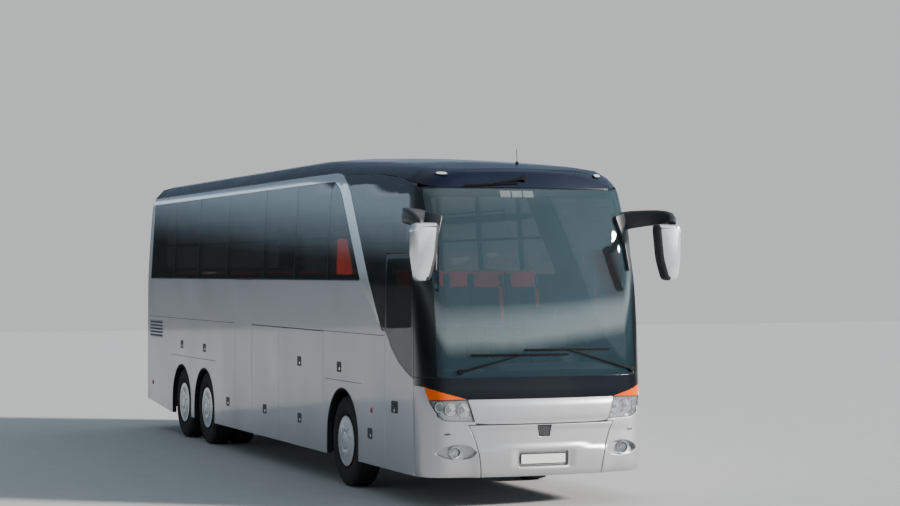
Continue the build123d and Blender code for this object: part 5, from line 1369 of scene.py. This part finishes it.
liners = Solid()
for name, sign in SIDES:
    chart = SIDE_CHART[name]
    trims = Shape()
    for line in SIDE_SEAMS if sign < 0 else SIDE_SEAMS[:-1]:
        trims.strip(chart, line, 0.0032)
    # rubber lips round the wheel arches, and a black liner on the inner edge of each
    for axle, station, lift in AXLES:
        lip = arch(station, lift, ARCH_RADIUS + 0.006, 24, SKIRT_Z + 0.01)
        trims.strip(chart, lip, 0.007, 0.003, 0.004, 0.001)
        rings = []
        for s, z in arch(station, lift, ARCH_RADIUS, 24, SKIRT_Z + 0.002):
            aside = Vector((s - station, max(z - AXLE_Z - lift, 0.0))).normalized()
            rings.append([world((s - aside.x * depth, sign * (HALF + y), z - aside.y * depth))
                          for depth, y in LINER])
        liners.loft(rings)
    # posts seen through the tinted glass, and the black line under the bright band
    trims.strip(chart, [(BAND_REAR[1][0] + 0.02, SILL_Z - 0.006), (WINDOW_REAR, SILL_Z - 0.006)], 0.006,
                0.0015)
    for post in POSTS:
        trims.strip(chart, [(post, SILL_Z + 0.004), (post, GLASS_TOP_Z - 0.004)], 0.0035, 0.0006, mark=1)
    # air slots behind the last wheel
    low_s, high_s, low_z, high_z = SLATS
    opening = rounded(rect(low_s, low_z, high_s, high_z), 0.03, 3)
    trims.strip(chart, opening + opening[:1], 0.004, 0.0010, mark=1)
    for k in range(SLAT_COUNT):
        z = low_z + (high_z - low_z) * (k + 0.5) / SLAT_COUNT
        trims.strip(chart, [(low_s + 0.02, z), (high_s - 0.02, z)], 0.0145, 0.003, 0.004, 0.0015, 2)
    trims.dress(f"side_trim_{name}", [RUBBER, BLACK_PLASTIC, SLAT_BLUE], "coach", "black_plastic")
    locks = Solid()
    for s, z in FIXED_LOCKS:
        lock_on(locks, chart, s, z, sign)
    locks.turned(world(chart.at(12.45, 0.73)), (0, sign, 0), SIDE_LAMP, 24, 2)
    if sign < 0:
        locks.turned(world(chart.at(1.84, 0.94)), (0, sign, 0), RED_LAMP, 24, 2)
    locks.dress(f"side_locks_{name}", [BRIGHT, BLACK_PLASTIC, LAMP_RED], "coach", "black_plastic")
    for flap, front_s, rear_s in FLAPS[name]:
        bits = Solid()
        for s, z in FLAP_LOCKS if sign < 0 else [((front_s + rear_s) / 2, 0.69)]:
            if front_s < s < rear_s:
                lock_on(bits, chart, s, z, sign)
        inner_y = sign * (HALF - WALL)
        bar_ys = sorted((inner_y, inner_y - sign * 0.018))
        for s in (front_s + 0.12, rear_s - 0.16):
            bits.block((s, s + 0.04), bar_ys, (0.42, SEAM_Z - 0.12), mark=1)
        rod = [world((s, inner_y - sign * 0.02, 0.60)) for s in (front_s + 0.13, rear_s - 0.13)]
        bits.tube(rod, 0.008, mark=1)
        bits.dress(f"flap_fittings_{name}_{flap}", [BRIGHT, BLACK_PLASTIC], f"luggage_flap_{name}_{flap}_lid",
                   "black_plastic")

# Fittings of the tail: louvres and grip of the engine lid, plate lamps, bumper seam
lid_bits, tail_bits = Shape(), Shape()
for hole in (louvre_hole, grip_hole):
    lid_bits.panel(TAIL, inset_loop(hole, -0.006), out=-0.030, thick=0.006, edge=0.001, step=0.2)
for k in range(7):
    lid_bits.strip(TAIL, TAIL.loop(level(0.99 + k * 0.055, (-0.556, 0.556))), 0.017, -0.003, 0.010, 0.003)
lid_grip = TAIL.loop(rounded(rect(-0.08, 0.872, 0.08, 0.889), 0.006, 3))
lid_bits.panel(TAIL, lid_grip, out=-0.004, thick=0.010, edge=0.003, step=0.2, mark=1)
tail_bits.strip(TAIL, TAIL.loop([(-1.12 + 2.24 * k / 20, 0.735) for k in range(21)]), 0.003)
for y in (-0.14, 0.14):
    lamp_loop = TAIL.loop(rounded(rect(y - 0.04, 0.645, y + 0.04, 0.668), 0.008, 3))
    tail_bits.panel(TAIL, lamp_loop, out=0.003, thick=0.006, edge=0.002, step=0.2, mark=1)
lid_bits.dress("engine_lid_fittings", [BLACK_PLASTIC, ARM_GREY], "engine_lid_body", "black_plastic")
tail_bits.dress("tail_fittings", [RUBBER, BLACK_PLASTIC], "coach", "black_plastic")

# Seats: every cushion, back and headrest is a pad of its own
SEAT_FIRST, SEAT_PITCH, SEAT_ROWS = 2.30, 0.80, 12
STAIRWELL_ROWS = (6.30, 7.10)
SEAT_MIDDLES = (0.4825, 0.9475)
DECK_TOP = 1.38
PAD_COUNT = 12
PAD_PULL = 0.025
BACK_LEAN = math.radians(12.0)
WHITE_ROW = 9.50
ACROSS, REARWARD = (0, 1, 0), (-1, 0, 0)
SHELL_OUTLINE = rounded([(-0.215, -0.33), (0.215, -0.33), (0.205, 0.335), (-0.205, 0.335)], 0.06, 4)
BELT_LINE = [(0.378, 0.50), (0.420, 0.70), (0.463, 0.90)]
BELT_SECTION = rect(-0.023, 0, 0.023, 0.0025)

lean = Vector((-math.sin(BACK_LEAN), 0.0, math.cos(BACK_LEAN)))
facing = Vector(ACROSS).cross(lean)


def pad(name, material, centre, up, size, channels=(), pipes=(), count=PAD_COUNT):
    """A crowned closed pad: its sides pull in between its corners, sewn channels cross its front."""
    centre, across, up = Vector(centre), Vector(ACROSS), Vector(up).normalized()
    normal = across.cross(up)
    wide, tall, thick = size
    made, place = Solid(), {}
    for side in (1, -1):
        for i in range(count + 1):
            for j in range(count + 1):
                if side < 0 and (i in (0, count) or j in (0, count)):
                    place[side, i, j] = place[1, i, j]
                    continue
                u, v = -math.cos(math.pi * i / count), -math.cos(math.pi * j / count)
                bulge = ((1 - u ** 6) * (1 - v ** 6)) ** 0.4
                depth = thick / 2 * bulge * (0.80 + 0.20 * (1 - u * u) * (1 - v * v))
                if side > 0:
                    depth -= sum(0.010 * math.exp(-((v - groove) / 0.08) ** 2) for groove in channels) * bulge
                    depth -= sum(0.008 * math.exp(-((abs(u) - pipe) / 0.07) ** 2) for pipe in pipes) * bulge
                place[side, i, j] = len(made.verts)
                sideways = across * (wide / 2 * u * (1 - PAD_PULL * (1 - v * v)))
                upward = up * (tall / 2 * v * (1 - PAD_PULL * (1 - u * u)))
                made.verts.append(tuple(centre + sideways + upward + normal * side * depth))
        for i in range(count):
            for j in range(count):
                corners = [place[side, i, j], place[side, i + 1, j], place[side, i + 1, j + 1],
                           place[side, i, j + 1]]
                made.faces.append(corners if side > 0 else corners[::-1])
                made.marks.append(0)
    made.dress(name, [material], "coach", "seat_fabric", "seats", sharp=50.0)


def seat_piping(centre, wide, tall):
    """A light piping bent over the top and down both sides of a headrest."""
    path = []
    for a, b in arc((0.0, 0.0), 1.0, -20, 200, 14):
        a, b = (math.copysign(abs(v) ** 0.5, v) for v in (a, b))
        path.append(centre + Vector(ACROSS) * wide / 2 * a + lean * tall / 2 * b + facing * 0.030)
    seat_belts.tube(path, 0.0045, 6, 1)


seat_frames, seat_belts, driver_base = Solid(), Solid(), Solid()
for name, sign in SIDES:
    for row in range(SEAT_ROWS):
        s = SEAT_FIRST + row * SEAT_PITCH
        if sign < 0 and any(abs(s - gap) < 0.1 for gap in STAIRWELL_ROWS):
            continue
        for number, middle in enumerate(SEAT_MIDDLES):
            y = sign * middle
            tag = f"{name}_{row + 1:02d}_{number + 1}"
            pad(f"seat_cushion_{tag}", SEAT_BLUE, world((s + 0.215, y, DECK_TOP + 0.395)), REARWARD,
                (0.445, 0.43, 0.135), (-0.35, 0.35), (0.72,))
            back_place = world((s + 0.475, y, DECK_TOP + 0.745))
            pad(f"seat_back_{tag}", SEAT_BLUE, back_place, lean, (0.445, 0.66, 0.115), (-0.5, -0.1, 0.3),
                (0.72,))
            head_place = back_place + lean * 0.25 + facing * 0.045
            white = abs(s - WHITE_ROW) < 0.1 and sign < 0
            pad(f"seat_headrest_{tag}", HEADREST_WHITE if white else SEAT_RED, head_place, lean,
                (0.32, 0.20, 0.06), count=10)
            seat_piping(head_place, 0.33, 0.21)
            # belt up beside the back
            spots = [world((s + behind, y + 0.17, DECK_TOP + above)) for behind, above in BELT_LINE]
            seat_belts.loft([[spot + Vector(ACROSS) * a + facing * b for a, b in BELT_SECTION]
                             for spot in spots])
        # back shells, pedestals, rail and aisle armrest of the pair
        for middle in SEAT_MIDDLES:
            shell_place = world((s + 0.538, sign * middle, DECK_TOP + 0.735))
            seat_frames.plate(shell_place, ACROSS, lean, SHELL_OUTLINE, 0.022, 0.008)
        pair, arm = sign * sum(SEAT_MIDDLES) / 2, sign * 0.262
        for leg in (sign * 0.36, sign * 1.06):
            seat_frames.block((s + 0.10, s + 0.36), (leg - 0.02, leg + 0.02), (DECK_TOP, DECK_TOP + 0.30),
                              0.006, 1, 0.012)
        seat_frames.block((s + 0.05, s + 0.40), (pair - 0.44, pair + 0.44),
                          (DECK_TOP + 0.295, DECK_TOP + 0.33), 0.008, 1, 0.02)
        seat_frames.block((s + 0.16, s + 0.47), (arm - 0.022, arm + 0.022),
                          (DECK_TOP + 0.60, DECK_TOP + 0.635), 0.010, 0, 0.02)
seat_frames.dress("seat_frames", [DASH_GREY, CHASSIS], "coach", "interior_grey", "seats")
# Driver's seat on its bellows
driver_back = world((1.515, 0.70, 1.66))
pad("driver_cushion", SEAT_BLUE, world((1.25, 0.70, 1.285)), REARWARD, (0.48, 0.46, 0.15), (-0.4, 0.3),
    (0.7,), 16)
pad("driver_back", SEAT_BLUE, driver_back, lean, (0.48, 0.62, 0.13), (-0.45, 0.0, 0.45), (0.7,), 16)
pad("driver_headrest", SEAT_BLUE, driver_back + lean * 0.335 + facing * 0.02, lean, (0.30, 0.17, 0.09))
driver_base.block((1.18, 1.40), (0.56, 0.84), (0.855, 0.93), 0.01, 1, 0.03)
for k in range(5):
    low_z, shrink = 0.93 + k * 0.052, 0.015 * (k % 2)
    driver_base.block((1.195 + shrink, 1.385 - shrink), (0.575 + shrink, 0.825 - shrink),
                      (low_z, low_z + 0.052), 0.012, 0, 0.03)
driver_base.block((1.06, 1.46), (0.48, 0.92), (1.19, 1.225), 0.01, 1, 0.04)
driver_base.dress("driver_seat_base", [DASH_GREY, CHASSIS], "coach", "interior_grey", "seats")
seat_belts.dress("seat_belts_and_piping", [BELT_RED, PIPING], "coach", "seat_fabric")

# Dashboard and its hood, as sections (station, z) with (y, how far set in) steps; racks as sections (y, z)
DASH = rounded([(0.26, 0.87), (0.215, 1.36), (0.27, 1.47), (0.42, 1.498), (0.62, 1.49), (0.685, 1.43),
                (0.66, 1.25), (0.58, 1.10), (0.56, 0.87)], 0.05, 4)
DASH_SPANS = [(-0.42, 0.020), (-0.40, 0.004), (-0.37, 0.0), (0.35, 0.0), (1.08, 0.0), (1.115, 0.006),
              (1.13, 0.020)]
HOOD = rounded([(0.50, 1.46), (0.53, 1.585), (0.60, 1.615), (0.78, 1.590), (0.80, 1.565), (0.70, 1.545),
                (0.66, 1.42)], 0.02, 3)
HOOD_SPANS = [(0.42, 0.018), (0.44, 0.004), (0.48, 0.0), (0.92, 0.0), (0.96, 0.004), (0.98, 0.018)]
RACK = rounded([(0.765, 3.085), (0.78, 3.165), (1.14, 3.168), (1.14, 3.10), (0.95, 3.078)], 0.025, 3)
RACK_STEPS = [(2.90, 0.02), (2.915, 0.004), (2.96, 0.0), (12.42, 0.0), (12.47, 0.004), (12.49, 0.02)]
RAIL_POSTS = (3.0, 4.8, 6.6, 8.4, 10.2, 12.0)
DIAL = [(0.0005, 0.0), (0.032, 0.0), (0.032, 0.006), (0.028, 0.008), (0.0005, 0.006)]

fittings = Solid()
fittings.slices(DASH, DASH_SPANS, lambda s, z, y: (s, y, z))
fittings.slices(HOOD, HOOD_SPANS, lambda s, z, y: (s, y, z))
gauges = rounded(rect(0.0, 0.0, 0.40, 0.085), 0.03, 4)
fittings.plate(world((0.665, 0.50, 1.455)), ACROSS, (0.35, 0, 0.94), gauges, 0.004, 0.001, 2)
for k in range(4):
    fittings.turned(world((0.672, 0.55 + k * 0.10, 1.50)), (-0.94, 0, 0.35), DIAL, 20, 1)
fittings.block((0.40, 0.80), (-0.36, 0.26), (0.855, 1.18), 0.02, 0, 0.05)
for name, sign in SIDES:
    fittings.slices(RACK, RACK_STEPS, lambda y, z, s: (s, sign * y, z), 1)
    fittings.tube([world((s, sign * 0.785, 3.20)) for s in (2.95, 6.0, 9.0, 12.45)], 0.012, 8, 2)
    for s in RAIL_POSTS:
        fittings.tube([world((s, sign * 0.785, z)) for z in (3.16, 3.20)], 0.008, 6, 2)
    # curtain rail along the windows
    fittings.tube([world((s, sign * 1.165, 2.872)) for s in (2.70, 6.0, 9.0, 12.40)], 0.018, 8)
fittings.dress("dashboard_skin", [DASH_GREY, INTERIOR, BLACK_PLASTIC], "coach", "interior_grey",
               "dashboard_and_racks")

# A curtain drawn together behind the right side's first window; its cloth glows with painted light that
# stands for daylight
CURTAIN_TOP, CURTAIN_LOW = 2.862, 2.41
CURTAIN_SPAN_TOP, CURTAIN_SPAN_LOW = (3.10, 3.46), (2.88, 3.48)
CURTAIN_Y = -1.140
CURTAIN_FOLDS, CURTAIN_COLUMNS, CURTAIN_ROWS = 7, 84, 14
verts, faces = [], []
for j in range(CURTAIN_ROWS + 1):
    down = j / CURTAIN_ROWS
    start, end = (a + (b - a) * down for a, b in zip(CURTAIN_SPAN_TOP, CURTAIN_SPAN_LOW))
    for i in range(CURTAIN_COLUMNS + 1):
        t = i / CURTAIN_COLUMNS
        fold = math.sin(2 * math.pi * CURTAIN_FOLDS * t + 0.5 * math.sin(5 * t + down))
        s = start + (end - start) * t + 0.006 * math.cos(4 * math.pi * CURTAIN_FOLDS * t) * down
        y = CURTAIN_Y - (0.010 + 0.018 * down) * fold * (0.8 + 0.2 * math.sin(9 * t))
        verts.append(world((s, y, CURTAIN_TOP + (CURTAIN_LOW - CURTAIN_TOP) * down)))
        if i and j:
            a = len(verts) - CURTAIN_COLUMNS - 3
            faces.append((a, a + 1, a + CURTAIN_COLUMNS + 2, a + CURTAIN_COLUMNS + 1))
cloth = mesh_object("curtain_right", [tuple(v) for v in verts], faces, [0] * len(faces), [CURTAIN_ORANGE])
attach(cloth, "coach")

liners.dress("arch_liners", [RUBBER], "coach", "black_plastic")

# Small things on the nose: marker lamps, washers, cards behind the glass, aerial, mirror feet
MIRROR_FOOT = [(0.985, 3.06), (1.17, 3.10), (1.19, 2.90), (1.135, 2.48), (1.095, 2.47), (1.065, 2.78),
               (1.02, 2.93)]
AERIAL_FOOT = [(0.0005, -0.006), (0.024, -0.006), (0.020, 0.010), (0.009, 0.024), (0.006, 0.030),
               (0.0005, 0.030)]
SMALL = {"edge": 0.003, "step": 0.3}


def oval_loop(y, z, wide, tall, count=20):
    """An oval on the nose."""
    turns = [2 * math.pi * k / count for k in range(count)]
    return NOSE.loop([(y + wide * math.cos(turn), z + tall * math.sin(turn)) for turn in turns])


nose_bits, nose_marks, cards, aerial = Shape(), Shape(), Shape(), Solid()
for name, sign in SIDES:
    nose_bits.panel(NOSE, oval_loop(sign * 0.905, 3.508, 0.060, 0.020), out=0.006, thick=0.010, mark=1,
                    **SMALL)
    nose_marks.panel(NOSE, oval_loop(sign * 0.905, 3.508, 0.050, 0.014), out=0.010, thick=0.006, **SMALL)
    nose_bits.panel(NOSE, oval_loop(sign * 1.04, 0.790, 0.034, 0.011), out=0.004, thick=0.006, edge=0.002,
                    step=0.3)
    foot = rounded([(sign * y, z) for y, z in MIRROR_FOOT], 0.04, 4)
    nose_bits.panel(NOSE, NOSE.loop(dense(foot, 0.08)), out=0.034, thick=0.036, edge=0.012, step=0.08, mark=1)
for low_y in (-0.325, -0.195, -0.065):
    outline = NOSE.loop(rounded(rect(low_y, 3.262, low_y + 0.115, 3.332), 0.008, 3))
    cards.panel(NOSE, outline, out=-0.0106, thick=0.0015, edge=0.0004, step=0.3)
nose_bits.dress("nose_fittings", [DARK_CHROME, ARM_GREY], "coach", "black_plastic")
nose_marks.dress("marker_lenses", [MARKER_LENS], "coach", "lamp_clear")
cards.dress("windscreen_cards", [CARD_WHITE], "coach", "plate_white")
aerial_foot = world(ROOF.at(1.20, math.atan2(0.205, 0.76)))
aerial.turned(aerial_foot, (0, 0, 1), AERIAL_FOOT, 20)
aerial_line = [(0, 0.028), (0.006, 0.10), (0.012, 0.165)]
aerial.tube([aerial_foot + Vector((-back, 0, up)) for back, up in aerial_line], 0.0035, 8)
aerial.dress("aerial", [WIPER_BLACK], "coach", "black_plastic")

# Handle of the front door in its dark cup
HANDLE_LINE = [(-0.055, 0.0), (-0.045, 0.010), (0.0, 0.013), (0.045, 0.010), (0.055, 0.0)]
handle = Solid()
handle_place = world(RIGHT.at(1.08, 1.02))
cup_place = handle_place + Vector((0, 0.002, 0))
handle.plate(cup_place, (1, 0, 0), (0, 0, 1), oblong(0.105, 0.066, 0.02), 0.004, 0.001)
handle.tube([handle_place + Vector((x, -0.004 - d, 0.018)) for x, d in HANDLE_LINE], 0.008, 10, 1)
key_hole = [(0.0005, 0.0), (0.016, 0.0), (0.016, 0.005), (0.0005, 0.006)]
handle.turned(handle_place + Vector((0.0, 0, -0.038)), (0, -1, 0), key_hole, 16, 2)
handle.dress("front_door_handle", [BLACK_PLASTIC, ARM_GREY, BRIGHT], "front_door_leaf", "black_plastic")

# Number plates: a pressed blank in a dark holder
for node, body, turn in (("front_number_plate", "bumper_flap_body", 1), ("rear_number_plate", "coach", -1)):
    (x0, y0, z0), (x1, y1, z1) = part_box(node)
    face_x = x1 if turn > 0 else x0
    middle_y, middle_z = (y0 + y1) / 2, (z0 + z1) / 2
    wide, tall = (y1 - y0) / 2, (z1 - z0) / 2
    plate = Solid()
    for behind, outline, thick, edge, mark in (
            (0.008, oblong(wide, tall, 0.010, 3), 0.0065, 0.002, 1),
            (0.0025, oblong(wide - 0.010, tall - 0.007, 0.010, 3), 0.0022, 0.0008, 0)):
        plate.plate((face_x - turn * behind, middle_y, middle_z), (0, turn, 0), (0, 0, 1), outline, thick,
                    edge, mark)
    plate.dress(f"{node}_blank", [PLATE_WHITE, BLACK_PLASTIC], body, "plate_white", node)

# Finishes of the frame's own nodes
FINISHES = {
    "floors_and_steps": FLOOR_GREY, "luggage_bay": INTERIOR, "underframe": CHASSIS, "wheel_wells": CHASSIS,
    "engine": CHASSIS, "axles": CHASSIS, "knuckle_left": CHASSIS, "knuckle_right": CHASSIS,
    "front_door_arm": BLACK_PLASTIC, "mid_door_arm": BLACK_PLASTIC, "steering_wheel": BLACK_PLASTIC,
}
for node, material in FINISHES.items():
    mesh = frame["nodes"][node].data
    mesh.materials.clear()
    mesh.materials.append(material)

# Camera, light and floor
LENS = 82.6
CAMERA_PLACE = (26.1817, -8.7143, 2.4677)
CAMERA_YAW, CAMERA_PITCH, CAMERA_ROLL = -0.3697, 0.0091, -0.0015
FLOOR_REACH = 60.0
SKY_SEEN = (0.62, 0.63, 0.64, 1.0)


def linked(name, data):
    """A new object in the scene."""
    made = bpy.data.objects.new(name, data)
    bpy.context.scene.collection.objects.link(made)
    return made


camera = linked("camera", bpy.data.cameras.new("camera"))
camera.data.lens = LENS
camera.data.sensor_width = 36.0
camera.data.clip_end = 200.0
ahead = Vector((-math.cos(CAMERA_YAW) * math.cos(CAMERA_PITCH),
                -math.sin(CAMERA_YAW) * math.cos(CAMERA_PITCH),
                math.sin(CAMERA_PITCH)))
camera.location = CAMERA_PLACE
view = ahead.to_track_quat("-Z", "Y").to_matrix() @ Matrix.Rotation(CAMERA_ROLL, 3, "Z")
camera.rotation_euler = view.to_euler()
bpy.context.scene.camera = camera

floor_corners = [(x, y, 0) for x, y in rect(-FLOOR_REACH, -FLOOR_REACH, FLOOR_REACH, FLOOR_REACH)]
pale_floor = plastic("pale_floor", (0.50, 0.49, 0.48), 0.85, grain=30.0, strength=0.05, spread=0.03)
mesh_object("studio_floor", floor_corners, [(0, 1, 2, 3)], [0], [pale_floor])

# Skies over the sine of the height, from -0.2 to 1: the floor's glow, a dim line at its edge, then the sky
LOW_SKY = [(0.0, (0.25, 0.245, 0.23)), (0.155, (0.16, 0.16, 0.16)), (0.172, (0.045, 0.05, 0.05)),
           (0.205, (0.06, 0.068, 0.07))]
# in front of the coach a light band low down, which the windscreen mirrors
AHEAD_SKY = LOW_SKY + [
    (0.226, (0.16, 0.20, 0.26)), (0.254, (0.24, 0.30, 0.38)), (0.274, (1.90, 2.15, 2.20)),
    (0.300, (1.70, 1.95, 2.05)), (0.345, (0.46, 0.60, 0.70)), (0.70, (0.44, 0.58, 0.68)),
    (0.82, (0.80, 0.92, 0.98)), (1.0, (0.24, 0.31, 0.42))]
# behind it a light one at the very edge, which the side windows mirror
BEHIND_SKY = LOW_SKY + [
    (0.228, (1.00, 1.34, 1.66)), (0.262, (1.25, 1.58, 1.90)), (0.290, (0.22, 0.29, 0.40)),
    (1.0, (0.20, 0.27, 0.38))]


def studio():
    """A soft sky over a pale floor, dimmer on the coach's right, away from the key."""
    bpy.context.scene.world = bpy.data.worlds.new("studio")
    graph = Graph(bpy.context.scene.world)
    way = graph.add("TexCoord", {}).outputs["Generated"]
    split = graph.add("SeparateXYZ", {"Vector": way}).outputs
    height = graph.stretch(split["Z"], -0.2, 1.0)
    along = graph.stretch(split["X"], -0.85, -0.45)
    sky = graph.mix(along, graph.ramp(height, BEHIND_SKY), graph.ramp(height, AHEAD_SKY))
    across = graph.stretch(split["Y"], -1.0, 1.0, {"To Min": 0.42, "To Max": 1.15})
    dimmed = graph.add("VectorMath", {0: sky, "Scale": across}, operation="SCALE").outputs["Vector"]
    seen = graph.add("LightPath", {}).outputs["Is Camera Ray"]
    graph.set(graph.nodes["Background"], {"Color": graph.mix(seen, dimmed, SKY_SEEN), "Strength": 1.0})


def key_light(name, azimuth, elevation, softness, power, colour):
    """One soft distant light; azimuth counts from the coach's nose towards its left, all in degrees."""
    made = linked(name, bpy.data.lights.new(name, "SUN"))
    made.data.energy = power
    made.data.angle = math.radians(softness)
    made.data.color = colour
    turn, rise = math.radians(azimuth), math.radians(elevation)
    place = Vector((math.cos(rise) * math.cos(turn), math.cos(rise) * math.sin(turn), math.sin(rise)))
    made.location = place * 30.0
    made.rotation_euler = (-place).to_track_quat("-Z", "Y").to_euler()


studio()
key_light("key", 56.0, 23.0, 7.0, 8.0, (1.0, 0.96, 0.92))
